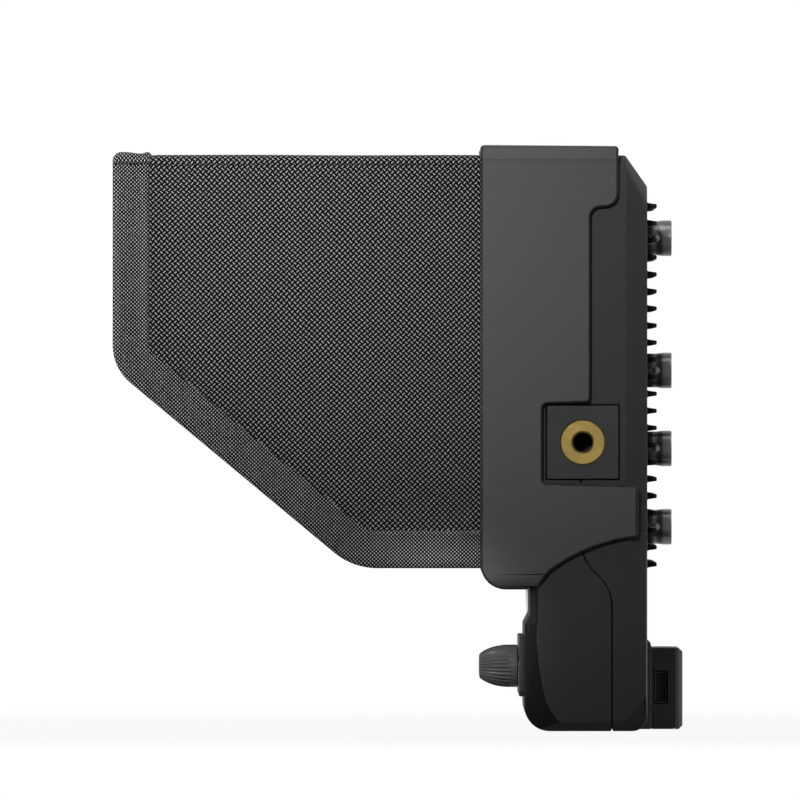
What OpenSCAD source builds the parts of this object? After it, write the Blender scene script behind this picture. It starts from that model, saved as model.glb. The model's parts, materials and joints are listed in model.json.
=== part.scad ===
// Camera field monitor with a folding sun hood.
// Millimetres. X runs across the screen, -Y faces the viewer and Z is up.
// The origin lies on the table, under the foot of the case.

/* [Case] */
// Width of the case across the screen
case_w = 172; // [170:1:176]
// Height of the top of the case above the table
case_top = 153.7; // [153.5:0.1:155]
// Depth from the screen glass to the flat of the back
case_depth = 35.9; // [35.5:0.1:37]
// Wall thickness of the plastic shells
wall = 2.2; // [1.8:0.1:2.4]
// Width of the groove between the front and rear shells
seam_gap = 0.3; // [0.1:0.1:0.5]

/* [Screen] */
// Width of the cover glass
glass_w = 160; // [156:1:162]
// Height of the cover glass
glass_h = 103; // [100:1:104]
// Width of the visible picture
picture_w = 152; // [148:1:154]
// Height of the visible picture
picture_h = 95.6; // [90:0.1:98]

/* [Heat sink] */
// Number of cooling fins
fin_count = 22; // [16:1:22]
// Distance from one fin to the next
fin_pitch = 4.557; // [4.2:0.01:4.6]
// Height of a fin above the flat back
fin_h = 2.6; // [1:0.05:4]

/* [Sun hood] */
// How far the hood reaches in front of its frame
hood_reach = 98.2; // [90:0.1:110]
// Length of the side flap's bottom edge in front of the frame
hood_bottom_reach = 34.1; // [25:0.1:45]
// Height above the table at which the side flap's slant meets its front edge
hood_slant_z = 96.9; // [85:0.1:110]
// Width of the sewn hem
hem_w = 10; // [6:0.5:12]
// Thickness of a flap
flap_t = 2; // [1.6:0.1:2]

/* [Controls] */
// Height of the knobs and buttons above the table
control_z = 17.2; // [16:0.1:18]
// Largest diameter of a knob
knob_d = 11.14; // [9:0.1:12]
// Length of a knob
knob_l = 10.3; // [9:0.1:12]
// Distance between neighbouring knobs or buttons
control_pitch = 18; // [14:0.5:22]

/* [Interfaces] */
// Radius of the threaded bore in each side insert
insert_bore_r = 2.6; // [2.5:0.05:3.2]
// Outer radius of the brass insert
insert_r = 6; // [5:0.1:7]

/* [Hidden] */
$fn = 48;
eps = 0.01;
clear = 0.3;

// Planes across the depth, from the viewer to the back
rear_y = 15.3;
front_y = rear_y - case_depth;
side_flat_end_y = 9.4;
frame_front_y = -29.2;
hood_front_y = frame_front_y - hood_reach;
panel_y = -17.5;
panel_top_y = -16.1;
case_hw = case_w / 2;

// Sloping edges of the case
rear_chamfer_x = 4;
rear_chamfer_z = 8.3;
rear_corner_cut = [7, 6.2];
top_corner_r = 4;
lower_bevel = 3.2;
main_bottom_z = 40.2;
panel_step_z = [28.3, 31];
lower_top_z = 53;
foot_fillet = 6.7;

// Outline of the control section's flat side: a shallow bow, a heel and the edge at the foot
bow_r = 80;
bow_bend = 14;
heel_r = 11.5;
heel_bend = 50;
side_foot_y = [-7.7, 9.2];
side_foot_z = 2.6;
side_heel_z = 9.4;

// Seam between the shells, an S from upper_seam_y to lower_seam_y
upper_seam_y = -2.4;
lower_seam_y = 5.9;
seam_bend = 50;
seam_start_z = 51;
seam_r1 = 12;
seam_reach_z = [-5, 170];
tongue_t = 1.6;
tongue_out_x = case_hw - lower_bevel - wall - 0.2;
tongue_z = [10, 45.5];
tongue_reach = 2;

// Screen stack
screen_z = 98.6;
glass_t = 1.4;
gasket_t = 0.3;
bezel_t = 3;
display_size = [162, 5.5, 103];
display_y = -17.4;
bracket_y = -11.7;
bracket_t = 1;

// Boards
board_y = -3;
board_t = 1.6;
board_hw = 70;
board_z = [52, 140];
control_board_y = -8.4;

// Screws and the holes for them
thread_r = 1.2;
thread_hole_r = 1.25;
head_r = 2.25;
head_hole_r = 2.4;
head_h = 1.6;

// Heat sink
sink_hw = 74.5;
sink_z = [43, 141.7];
sink_flange_y = 11.3;
shell_back_y = rear_y - wall;
top_fin_z = 140.2;
fin_root_w = 2;
fin_stem_w = 1.62;
fin_tip_w = 1.12;
fin_tip_r = 0.3;
fin_flare = 0.5;
sink_flange_hw = 76.5;
sink_screw_z = [72, 124];
sink_post_r = 2.8;
pad_x = [-6, 26];
pad_z = [82, 114];
pad_y = [3.6, 4.6];

// Video sockets, in one column
bnc_x = -52;
bnc_z = [132.2, 96.4, 75.3, 54.1];
bnc_tip_y = 22.8;
bnc_well_r = 8.75;
bnc_plate_y = [9.7, 11.2];
bnc_mouth_r = 4.83;
bnc_neck_r = 4.6;
bnc_hole_r = 3.7;
bnc_insulator_r = 2.35;
bnc_contact_r = 1.05;
bnc_base_hw = 6;

// Case screws
screw_x = 78.3;
screw_z = [56, 104, 134];
boss_r = 3.2;
boss_y = [-10.3, upper_seam_y - 0.3];

// Side mounting blocks
block_y = [-11.5, 7.6];
block_z = [67.3, 86.9];
block_centre = [(block_y[0] + block_y[1]) / 2, (block_z[0] + block_z[1]) / 2];
block_out_x = case_hw + 0.9;
insert_out_x = case_hw + 1.3;
insert_in_x = insert_out_x - 9.3;

// Connector housing at the foot of the back
pod_hw = 31;
pod_y = [16.8, 22.8];
pod_z = [0.1, 21.9];
pod_plate_y = [22.9, 25.1];
plate_screw_seat_y = pod_plate_y[1] - 1.2;
power_pos = [-12, 11.5];
power_body_r = 5.1;
power_collar_r = 4.5;
power_hole_r = 3;
power_pin_r = 1;
port_centre = [19.2, 11.3];
port_size = [3.2, 8.4];

// Control panel
fascia_y = [-18.9, panel_y];
fascia_hw = 76;
fascia_h = 16;
knob_x = [1, 2, 3] * control_pitch + [10, 10, 10];
button_x = -knob_x;
knob_names = ["brightness", "contrast", "peaking"];
button_size = [11, 7];
shaft_r = 3;
bush_r = 3.95;
bush_hole_r = 4.2;
knob_back_y = -19.3;
knob_hole_l = 6.5;

// Hood frame
frame_t = 2;
frame_gap = 0.2;
frame_hw = case_hw + frame_gap + frame_t;
frame_z = [37.8, case_top + clear + 2.5];
frame_top_fall = 0.35;
frame_lip_t = 1.4;

// Rear edges of the frame, from the top down to the tab behind the controls
frame_back_y = 7.6;
frame_step_z = [139.7, 140];
frame_mid_y = 0.2;
frame_tab_y = 12.8;
frame_tab_z = 51.75;

// Arch that the frame leaves over the controls, and its steeper foot: radii, headings in degrees
arch_r = 46.4;
arch_h = [185.4, 216.5];
arch_foot_r = 17.2;
arch_foot_h = [226, 246];

// Flaps and the ring that carries them
flap_out_x = case_hw - 2.4;
flap_in_x = flap_out_x - flap_t;
flap_top_z = case_top;
flap_under_z = flap_top_z - flap_t;
side_flap_top_z = flap_under_z - clear;
side_flap_bottom_z = 43.5;
flap_front_r = 13;
flap_bottom_r = 18;
hem_proud = 0.6;
top_hem_proud = 0.8;
ring_y = [-27.6, front_y - 0.2];
ring_bottom_z = 40.4;
ring_corner_r = 2.5;
ring_inner_x = case_hw - 1.5;
ring_flange_t = 0.6;
ring_top_z = flap_under_z + 0.2;
left_rib_x = flap_in_x + 0.6;
tape_t = 0.35;

// Hinge lines: the right flap folds first, then the left one and the top one over them
right_hinge_y = -22;
left_hinge_y = right_hinge_y - flap_t - hem_proud - clear;
top_hinge_y = left_hinge_y - flap_t - hem_proud - clear - 0.1;

board_core_t = 0.8;
cloth_t = (flap_t - board_core_t) / 2;

// ---------- Shapes that repeat ----------

// Extrudes an X-Z outline from y0 to y1
module xz_plate(y0, y1) {
  translate([0, y1, 0]) rotate([90, 0, 0]) linear_extrude(y1 - y0) children();
}

// Extrudes a Y-Z outline from x0 to x1
module yz_slab(x0, x1) {
  translate([x0, 0, 0]) rotate([90, 0, 90]) linear_extrude(x1 - x0) children();
}

module yz_prism(w) {
  yz_slab(-w / 2, w / 2) children();
}

module rod_x(x0, x1, r) {
  translate([x0, 0, 0]) rotate([0, 90, 0]) cylinder(h = x1 - x0, r = r);
}

module rod_y(y0, y1, r) {
  translate([0, y1, 0]) rotate([90, 0, 0]) cylinder(h = y1 - y0, r = r);
}

// Box between two corners
module box(low, high) {
  translate(low) cube(high - low);
}

module both_sides() {
  children();
  mirror([1, 0, 0]) children();
}

// Rectangle with round corners, centred across X, from z0 to z1
module round_rect(w, z0, z1, r) {
  translate([-w / 2, z0 + r]) square([w, z1 - z0 - 2 * r]);
  translate([-w / 2 + r, z0]) square([w - 2 * r, z1 - z0]);
  for (x = [r - w / 2, w / 2 - r], z = [z0 + r, z1 - r]) translate([x, z]) circle(r);
}

function unit(v) = v / norm(v);
function turn(v, a) = [v.x * cos(a) - v.y * sin(a), v.x * sin(a) + v.y * cos(a)];

// Points of a round corner of radius r at b, on the way from a to c
function fillet(a, b, c, r, steps = 8) =
  r <= 0 ? [b] :
  let (
    u = unit(a - b), v = unit(c - b), half = acos(u * v) / 2,
    centre = b + unit(u + v) * r / sin(half),
    first = b + u * r / tan(half) - centre,
    last = b + v * r / tan(half) - centre,
    way = sign(cross(first, last)) * (180 - 2 * half)
  ) [for (i = [0:steps]) centre + turn(first, way * i / steps)];

// Points of an arc from start, turning left from the heading h0 to the heading h1
function arc_points(start, r, h0, h1, steps) = [
  for (i = [0:steps])
    let (h = h0 + (h1 - h0) * i / steps)
    start + r * [sin(h) - sin(h0), cos(h0) - cos(h)]
];

// Outline through [y, z, radius] corners, with each corner rounded
function rounded(corners) = [
  for (i = [0:len(corners) - 1])
    let (
      n = len(corners), p = corners[i],
      before = corners[(i + n - 1) % n], after = corners[(i + 1) % n]
    )
    each fillet([before.x, before.y], [p.x, p.y], [after.x, after.y], p.z)
];

// ---------- Case ----------

// Outline of the flat back, with its two upper corners cut
module rear_outline() {
  hw = case_hw - rear_chamfer_x;
  top = case_top - rear_chamfer_z;
  polygon([
    [-hw, main_bottom_z], [hw, main_bottom_z], [hw, top - rear_corner_cut.y],
    [hw - rear_corner_cut.x, top], [rear_corner_cut.x - hw, top], [-hw, top - rear_corner_cut.y]
  ]);
}

// Upper block behind the screen, whose back tapers on three sides
module main_block() {
  hull() {
    xz_plate(front_y, side_flat_end_y) round_rect(case_w, main_bottom_z, case_top, top_corner_r, $fn = 32);
    xz_plate(rear_y - eps, rear_y) rear_outline();
  }
}

// Silhouette of the control section, seen from the side
function lower_silhouette() = rounded([
  [panel_y, panel_step_z[0], 0], [panel_y, 0, foot_fillet], [rear_y, 0, 4],
  [rear_y, lower_top_z, 0], [side_flat_end_y, lower_top_z, 0], [panel_top_y, panel_step_z[1], 0]
]);

// Flat part of the control section's side, which narrows towards the foot
function lower_side_face() =
  let (
    bow = arc_points([panel_y + lower_bevel, panel_step_z[0]], bow_r, -90, bow_bend - 90, 5),
    heel = arc_points(bow[5], heel_r, bow_bend - 90, heel_bend - 90, 6),
    back_y = rear_y - clear
  )
  concat(
    [for (i = [0:4]) bow[i]],
    heel,
    rounded([
      [side_foot_y[0], side_foot_z, 0], [side_foot_y[1], side_foot_z, 1.5],
      [back_y, side_heel_z, 3], [back_y, 42, 0], [side_flat_end_y, lower_top_z, 0]
    ])
  );

// Control section under the screen
module lower_block() {
  hull() {
    yz_prism(case_w - 2 * lower_bevel) polygon(lower_silhouette());
    yz_prism(case_w) polygon(lower_side_face());
  }
}

// Plain neck that joins the two blocks
module neck_block() {
  bevel_hw = case_hw - lower_bevel;
  translate([0, 0, panel_step_z[1] - 2]) linear_extrude(24) polygon([
    [-bevel_hw, panel_top_y], [bevel_hw, panel_top_y], [case_hw, panel_y + lower_bevel],
    [case_hw, side_flat_end_y], [case_hw - rear_chamfer_x, rear_y],
    [rear_chamfer_x - case_hw, rear_y], [-case_hw, side_flat_end_y],
    [-case_hw, panel_y + lower_bevel]
  ]);
}

// Raised pad that the connector housing stands on
module pod_pad() {
  yz_prism(2 * pod_hw + 4) polygon([
    [rear_y - 4, pod_z[0]], [pod_y[0], pod_z[0]], [pod_y[0], pod_z[1]],
    [pod_y[0] - 0.3, pod_z[1] + 1.5], [rear_y, pod_z[1] + 2.5], [rear_y - 1, pod_z[1] + 2.5]
  ]);
}

module case_outer() {
  main_block();
  lower_block();
  neck_block();
  pod_pad();
}

// Hollow behind the screen
module main_cavity() {
  cavity_hw = case_hw - wall;
  hull() {
    xz_plate(front_y + bezel_t, side_flat_end_y - 1)
      translate([-cavity_hw, main_bottom_z + wall])
        square([2 * cavity_hw, case_top - main_bottom_z - 2 * wall]);
    xz_plate(shell_back_y - eps, shell_back_y)
      translate([-cavity_hw + rear_chamfer_x, main_bottom_z + wall])
        square([2 * (cavity_hw - rear_chamfer_x), 101]);
  }
}

// Hollow of the control section
module lower_cavity() {
  inner_y = panel_y + wall;
  yz_prism(case_w - 2 * (lower_bevel + wall)) polygon([
    [inner_y, 8], [-9.5, wall], [11, wall], [shell_back_y, 4.5],
    [shell_back_y, 46], [-13.9, 46], [-13.9, 30], [inner_y, 27]
  ]);
}

module case_cavity() {
  main_cavity();
  lower_cavity();
}

// Seam line from top to bottom, moved dy towards the back
function seam_line(dy) =
  let (
    drop = seam_r1 * sin(seam_bend), shift = seam_r1 * (1 - cos(seam_bend)),
    r2 = (lower_seam_y - upper_seam_y - shift) / (1 - cos(seam_bend)),
    end_z = seam_start_z - drop - r2 * sin(seam_bend)
  )
  [for (p = concat(
    [[upper_seam_y, seam_reach_z[1]]],
    [for (i = [0:5]) let (a = seam_bend * i / 5)
      [upper_seam_y + seam_r1 * (1 - cos(a)), seam_start_z - seam_r1 * sin(a)]],
    [for (i = [4:-1:0]) let (a = seam_bend * i / 5)
      [lower_seam_y - r2 * (1 - cos(a)), end_z + r2 * sin(a)]],
    [[lower_seam_y, seam_reach_z[0]]]
  )) p + [dy, 0]];

// Space of the front shell (far_y in front) or of the rear shell (far_y behind)
module seam_side(dy, far_y) {
  far_edge = [[far_y, seam_reach_z[0]], [far_y, seam_reach_z[1]]];
  yz_prism(case_w + 10) polygon(concat(seam_line(dy), far_edge));
}

// Tongues on the front shell's inner walls, which close the seam of the control section from inside
module seam_tongues() {
  both_sides() {
    tongue_plate(tongue_out_x - tongue_t, tongue_out_x, tongue_reach);
    tongue_plate(tongue_out_x - eps, tongue_out_x + 2 * clear, -2 * clear);
  }
}

// Plate that runs along the seam from x0 to x1 and ends dy behind it
module tongue_plate(x0, x1, dy) {
  intersection() {
    yz_slab(x0, x1) polygon(concat(
      seam_line(dy), [for (i = [len(seam_line(dy)) - 1:-1:0]) seam_line(-tongue_reach)[i]]
    ));
    box([x0 - 1, -20, tongue_z[0]], [x1 + 1, 20, tongue_z[1]]);
  }
}

// Openings in both shells for the side mounting blocks
module block_windows() {
  both_sides() box(
    [case_hw - 8, block_y[0] - clear, block_z[0] - clear],
    [case_hw + 5, block_y[1] + clear, block_z[1] + clear]
  );
}

module at_screws() {
  for (x = [-screw_x, screw_x], z = screw_z) translate([x, 0, z]) children();
}

module glass_outline(margin) {
  round_rect(
    glass_w + 2 * margin, screen_z - glass_h / 2 - margin, screen_z + glass_h / 2 + margin, 4
  );
}

module picture_outline(margin) {
  round_rect(
    picture_w + 2 * margin, screen_z - picture_h / 2 - margin,
    screen_z + picture_h / 2 + margin, 1.5
  );
}

module front_shell() {
  color([0.14, 0.14, 0.14]) difference() {
    union() {
      intersection() {
        difference() {
          case_outer();
          case_cavity();
        }
        seam_side(-seam_gap / 2, -60);
      }
      seam_tongues();
      at_screws() rod_y(boss_y[0], boss_y[1], boss_r);
      both_sides() for (z = screw_z)
        box([screw_x, boss_y[0], z - 1], [case_hw - wall + 0.5, boss_y[1], z + 1]);
    }
    xz_plate(front_y - 1, front_y + glass_t + gasket_t) glass_outline(0.15);
    xz_plate(front_y - 1, front_y + bezel_t + 1) picture_outline(0.6);
    at_screws() rod_y(boss_y[0] - 0.1, 0, thread_hole_r);
    block_windows();
    for (x = knob_x)
      translate([x, 0, control_z]) rod_y(panel_y - 1, panel_y + wall + 1, bush_hole_r);
    for (x = button_x) button_hole(x, panel_y - 1, panel_y + wall + 1);
  }
}

module rear_shell() {
  color([0.2, 0.2, 0.2]) difference() {
    union() {
      intersection() {
        difference() {
          case_outer();
          case_cavity();
        }
        seam_side(seam_gap / 2, 60);
      }
      at_screws() rod_y(boss_y[1] + 0.5, shell_back_y + 0.5, boss_r);
    }
    xz_plate(shell_back_y - 1, rear_y + 1)
      translate([-sink_hw - 0.2, sink_z[0] - 0.2])
        square([2 * sink_hw + 0.4, sink_z[1] - sink_z[0] + 0.4]);
    at_screws() {
      rod_y(boss_y[1], rear_y, thread_hole_r);
      rod_y(rear_y - head_h - 0.4, rear_y + 1, head_hole_r);
    }
    block_windows();
    translate([power_pos.x, 0, power_pos.y])
      rod_y(shell_back_y - 1, pod_y[0] + 1, power_body_r + 0.1);
  }
}

// ---------- Heat sink and boards ----------

// Side view of one fin: flared at the root, then a slow taper to a blunt tip
module fin_outline() {
  tip_y = rear_y + fin_h;
  round_y = tip_y - fin_tip_r;
  half = [fin_root_w / 2, fin_stem_w / 2, fin_tip_w / 2];
  polygon([
    [rear_y - 0.5, -half[0]], [rear_y, -half[0]], [rear_y + fin_flare, -half[1]],
    [round_y, -half[2]], [round_y, half[2]], [rear_y + fin_flare, half[1]],
    [rear_y, half[0]], [rear_y - 0.5, half[0]]
  ]);
  translate([round_y - eps, fin_tip_r - half[2]])
    square([fin_tip_r + eps, 2 * (half[2] - fin_tip_r)]);
  for (z = [fin_tip_r - half[2], half[2] - fin_tip_r]) translate([round_y, z]) circle(fin_tip_r);
}

module heat_sink() {
  color([0.09, 0.09, 0.09]) difference() {
    union() {
      box([-sink_hw, shell_back_y, sink_z[0]], [sink_hw, rear_y, sink_z[1]]);
      box(
        [-sink_flange_hw, sink_flange_y, sink_z[0] - 2],
        [sink_flange_hw, shell_back_y, sink_z[1] + 1.3]
      );
      for (i = [0:fin_count - 1])
        translate([0, 0, top_fin_z - i * fin_pitch]) yz_prism(2 * sink_hw - 1) fin_outline();
      box([pad_x[0] - 2, pad_y[1], pad_z[0] - 2], [pad_x[1] + 2, sink_flange_y, pad_z[1] + 2]);
      at_sink_screws() rod_y(board_y + board_t, sink_flange_y, sink_post_r);
    }
    at_sink_screws() rod_y(board_y, board_y + board_t + 6, thread_hole_r);
    for (z = bnc_z) translate([bnc_x, 0, z]) rod_y(0, 30, bnc_well_r);
    at_screws() rod_y(0, 30, boss_r + clear);
  }
}

module thermal_pad() {
  color([0.55, 0.65, 0.75]) box(
    [pad_x[0], pad_y[0], pad_z[0]], [pad_x[1], pad_y[1], pad_z[1]]
  );
}

module main_board() {
  color([0.05, 0.25, 0.12]) difference() {
    box([-board_hw, board_y, board_z[0]], [board_hw, board_y + board_t, board_z[1]]);
    at_board_screws() rod_y(board_y - 1, board_y + board_t + 1, thread_hole_r);
    at_sink_screws() rod_y(board_y - 1, board_y + board_t + 1, thread_hole_r);
  }
}

module at_board_screws() {
  for (x = [4 - board_hw, board_hw - 4], z = [board_z[0] + 4, board_z[1] - 4])
    translate([x, 0, z]) children();
}

module at_sink_screws() {
  for (x = [4 - board_hw, board_hw - 4], z = sink_screw_z) translate([x, 0, z]) children();
}

module board_chips() {
  top = board_y + board_t;
  color([0.12, 0.12, 0.13]) {
    box([pad_x[0], top, pad_z[0]], [pad_x[1], pad_y[0], pad_z[1]]);
    for (x = [34, 44, 54], z = [64, 84, 104, 124]) box([x, top, z], [x + 8, top + 1.2, z + 10]);
    for (x = [-30, -18], z = [60, 120]) translate([x, 0, z]) rod_y(top, top + 6, 3);
    box([-34, top, 84], [-12, top + 2.5, 112]);
  }
}

module board_screws() {
  board_back_y = board_y + board_t;
  color([0.6, 0.6, 0.62]) {
    at_board_screws() {
      rod_y(board_back_y, board_back_y + head_h, head_r);
      rod_y(bracket_y + bracket_t + 0.5, board_back_y, thread_r);
    }
    at_sink_screws() {
      rod_y(board_y - head_h, board_y, head_r);
      rod_y(board_y, board_back_y + 5, thread_r);
    }
  }
}

module display_panel() {
  color([0.06, 0.06, 0.08]) translate([-display_size.x / 2, display_y, screen_z - display_size.z / 2])
    cube(display_size);
}

// Sheet-metal plate behind the panel, with spacers for the main board
module display_bracket() {
  color([0.6, 0.62, 0.64]) difference() {
    union() {
      box([-82, bracket_y, 45], [82, bracket_y + bracket_t, 150.5]);
      at_board_screws() rod_y(bracket_y, board_y, 2.6);
    }
    at_board_screws() rod_y(bracket_y + bracket_t + 0.4, board_y + 1, thread_hole_r);
    both_sides() box([70, -20, block_z[0] - 3], [90, 0, block_z[1] + 3]);
  }
}

module screen_glass() {
  color([0.03, 0.03, 0.04]) xz_plate(front_y, front_y + glass_t) glass_outline(0);
}

module screen_gasket() {
  color([0.05, 0.05, 0.05]) xz_plate(front_y + glass_t, front_y + glass_t + gasket_t)
    difference() {
      glass_outline(-0.3);
      picture_outline(1.4);
    }
}

// Flat cable that bends round the bottom of the bracket to the main board
module display_ribbon() {
  t = 0.4;
  start = [display_y + 2.8, screen_z - display_size.z / 2];
  low_z = start.y - 4;
  end = [board_y, 55];
  color([0.75, 0.6, 0.35]) yz_slab(-14, 14) polygon([
    start, start + [t, 0], [start.x + t, low_z + t], [end.x - t, low_z + t], end - [t, 0],
    end, [end.x, low_z], [start.x, low_z]
  ]);
}

// Flat cable from the control board up to the main board
module control_ribbon() {
  color([0.75, 0.6, 0.35]) yz_slab(20, 34) polygon([
    [control_board_y + board_t, 24], [control_board_y + board_t + 0.4, 24],
    [board_y + board_t + 0.4, 46], [board_y + board_t + 0.4, 56], [board_y + board_t, 56],
    [board_y + board_t, 46.2], [control_board_y + board_t, 24.4]
  ]);
}

// ---------- Video and power connectors ----------

module bnc_plate() {
  color([0.6, 0.62, 0.64]) difference() {
    box([bnc_x - 10, bnc_plate_y[0], 45], [bnc_x + 10, bnc_plate_y[1], 141]);
    for (z = bnc_z) translate([bnc_x, 0, z]) rod_y(0, 20, bnc_mouth_r);
  }
}

// Bayonet socket: square base on the board, neck, two lugs and a flared mouth
module bnc_jack(z) {
  mouth_y = bnc_tip_y - 3.1;
  color([0.6, 0.6, 0.6]) translate([bnc_x, 0, z]) difference() {
    union() {
      box([-bnc_base_hw, board_y + board_t, -bnc_base_hw], [bnc_base_hw, bnc_plate_y[0], bnc_base_hw]);
      rod_y(bnc_plate_y[0], bnc_plate_y[1] + 2.2, bnc_mouth_r - 0.05);
      rod_y(bnc_plate_y[1] + 2, bnc_tip_y - 2, bnc_neck_r);
      translate([0, mouth_y, 0]) rotate([90, 0, 0])
        cylinder(h = 0.9, r1 = bnc_mouth_r, r2 = bnc_neck_r);
      rod_y(mouth_y, bnc_tip_y, bnc_mouth_r);
      translate([0, mouth_y - 1, 0]) rod_x(-5.5, 5.5, 1);
    }
    rod_y(12, bnc_tip_y + 1, bnc_hole_r);
  }
}

module bnc_nuts() {
  color([0.65, 0.65, 0.66]) for (z = bnc_z) translate([bnc_x, 0, z]) difference() {
    translate([0, bnc_plate_y[1] + 2, 0]) rotate([90, 0, 0]) cylinder(h = 2, r = 7.2, $fn = 6);
    rod_y(0, 20, bnc_mouth_r);
  }
}

module bnc_insulators() {
  color([0.9, 0.9, 0.88]) for (z = bnc_z) translate([bnc_x, 0, z]) difference() {
    rod_y(12, bnc_tip_y - 0.8, bnc_insulator_r);
    rod_y(11, bnc_tip_y + 1, bnc_contact_r);
  }
}

module bnc_contacts() {
  color([0.85, 0.68, 0.3]) for (z = bnc_z) translate([bnc_x, 0, z]) difference() {
    rod_y(12, bnc_tip_y - 1.4, bnc_contact_r);
    rod_y(14, bnc_tip_y, bnc_contact_r - 0.45);
  }
}

module connector_housing() {
  color([0.1, 0.1, 0.1]) difference() {
    box([-pod_hw, pod_y[0], pod_z[0]], [pod_hw, pod_y[1], pod_z[1]]);
    translate([power_pos.x, 0, power_pos.y]) rod_y(10, 30, power_body_r + 0.1);
    yz_slab(pod_hw - 6, pod_hw + 1) translate(port_centre)
      square(port_size + [0.5, 0.5], center = true);
    at_plate_screws() rod_y(pod_y[0] + 1, pod_y[1] + 1, thread_hole_r);
  }
}

module at_plate_screws() {
  for (x = [-26.5, 26.5], z = [4.5, 18.5]) translate([x, 0, z]) children();
}

// Metal cover plate with bevelled edges
module connector_plate() {
  bevel = 1;
  color([0.23, 0.23, 0.23]) difference() {
    hull() {
      box([-pod_hw, pod_plate_y[0], pod_z[0]], [pod_hw, pod_plate_y[1] - bevel, pod_z[1]]);
      box(
        [-pod_hw + bevel, pod_plate_y[0], pod_z[0] + bevel],
        [pod_hw - bevel, pod_plate_y[1], pod_z[1] - bevel]
      );
    }
    translate([power_pos.x, 0, power_pos.y]) rod_y(10, 30, power_collar_r + 0.1);
    at_plate_screws() {
      rod_y(10, 30, thread_hole_r);
      rod_y(plate_screw_seat_y, 30, head_hole_r);
    }
  }
}

module plate_screws() {
  color([0.35, 0.35, 0.36]) at_plate_screws() {
    rod_y(plate_screw_seat_y, pod_plate_y[1] - 0.1, head_r);
    rod_y(pod_y[0] + 2, plate_screw_seat_y, thread_r);
  }
}

module power_socket() {
  color([0.5, 0.5, 0.52]) translate([power_pos.x, 0, power_pos.y]) difference() {
    union() {
      rod_y(12, pod_plate_y[0] - 0.1, power_body_r);
      rod_y(pod_plate_y[0] - 0.1, pod_plate_y[1] - 0.2, power_collar_r);
    }
    rod_y(14, 30, power_hole_r);
  }
}

module power_pin() {
  color([0.7, 0.7, 0.72]) translate([power_pos.x, 0, power_pos.y]) rod_y(14, 23.8, power_pin_r);
}

module service_port() {
  color([0.55, 0.55, 0.56]) difference() {
    yz_slab(pod_hw - 5.5, pod_hw - 0.6) translate(port_centre) square(port_size, center = true);
    yz_slab(pod_hw - 4.5, pod_hw + 1) translate(port_centre)
      square(port_size - [0.7, 0.7], center = true);
  }
}

// ---------- Controls ----------

module button_hole(x, y0, y1) {
  translate([x, 0, 0]) xz_plate(y0, y1)
    round_rect(button_size.x + 0.5, control_z - button_size.y / 2 - 0.25,
      control_z + button_size.y / 2 + 0.25, 1.4);
}

module control_fascia() {
  color([0.08, 0.08, 0.08]) difference() {
    xz_plate(fascia_y[0], fascia_y[1])
      round_rect(2 * fascia_hw, control_z - fascia_h / 2, control_z + fascia_h / 2, 2);
    for (x = knob_x) translate([x, 0, control_z]) rod_y(-30, 0, bush_hole_r);
    for (x = button_x) button_hole(x, -30, 0);
  }
}

module control_board() {
  color([0.05, 0.25, 0.12])
    box([-72, control_board_y, 6], [72, control_board_y + board_t, 28]);
}

// Rotary controls: a square base and a threaded bush that the shaft turns in
module potentiometers() {
  color([0.45, 0.46, 0.48]) for (x = knob_x) translate([x, 0, control_z]) difference() {
    union() {
      box([-5, -14.9, -5], [5, control_board_y, 5]);
      rod_y(-17.3, -14.9, bush_r);
    }
    rod_y(-18, -11.8, shaft_r + 0.05);
  }
}

module tact_switches() {
  color([0.15, 0.15, 0.16]) for (x = button_x) translate([x, 0, control_z]) {
    box([-3, -11.9, -3], [3, control_board_y, 3]);
    rod_y(-12.5, -11.9, 1.7);
  }
}

// Half outline of a knob: straight at the back, drawn in as an ellipse to the tip
function knob_outline() =
  let (r = knob_d / 2, bend_y = 2.2, reach = 9.6)
  concat(
    [[0, 0], [r - 0.3, 0], [r, 0.3]],
    [for (i = [0:8]) let (y = bend_y + (knob_l - bend_y) * i / 8)
      [r * sqrt(1 - pow((y - bend_y) / reach, 2)), y]],
    [[0, knob_l]]
  );

module knob(x) {
  color([0.16, 0.16, 0.16]) translate([x, knob_back_y, control_z]) rotate([90, 0, 0]) difference() {
    rotate_extrude() polygon(knob_outline());
    translate([0, 0, -1]) cylinder(h = knob_hole_l + 1, r = shaft_r);
  }
}

module knob_shaft(x) {
  color([0.7, 0.7, 0.72]) translate([x, 0, control_z]) rod_y(knob_back_y - knob_hole_l, -12, shaft_r);
}

module function_button(x) {
  color([0.12, 0.12, 0.12]) translate([x, 0, 0]) {
    xz_plate(-20.5, -15) round_rect(
      button_size.x, control_z - button_size.y / 2, control_z + button_size.y / 2, 1.2
    );
    box(
      [-button_size.x / 2 - 0.9, -15, control_z - button_size.y / 2 - 0.9],
      [button_size.x / 2 + 0.9, -14.2, control_z + button_size.y / 2 + 0.9]
    );
    translate([0, 0, control_z]) rod_y(-14.2, -13.2, 1.5);
  }
}

// ---------- Mounting points and fasteners ----------

module side_block() {
  color([0.2, 0.2, 0.2]) difference() {
    union() {
      box([72, block_y[0], block_z[0]], [block_out_x, block_y[1], block_z[1]]);
      box(
        [case_hw - wall - 2.4, block_y[0] - 0.6, block_z[0] - 2],
        [case_hw - wall - 0.2, block_y[1], block_z[1] + 2]
      );
    }
    translate([0, block_centre.x, block_centre.y]) {
      rod_x(insert_in_x, 100, insert_r);
      rod_x(74, 100, 3.2);
    }
  }
}

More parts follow.
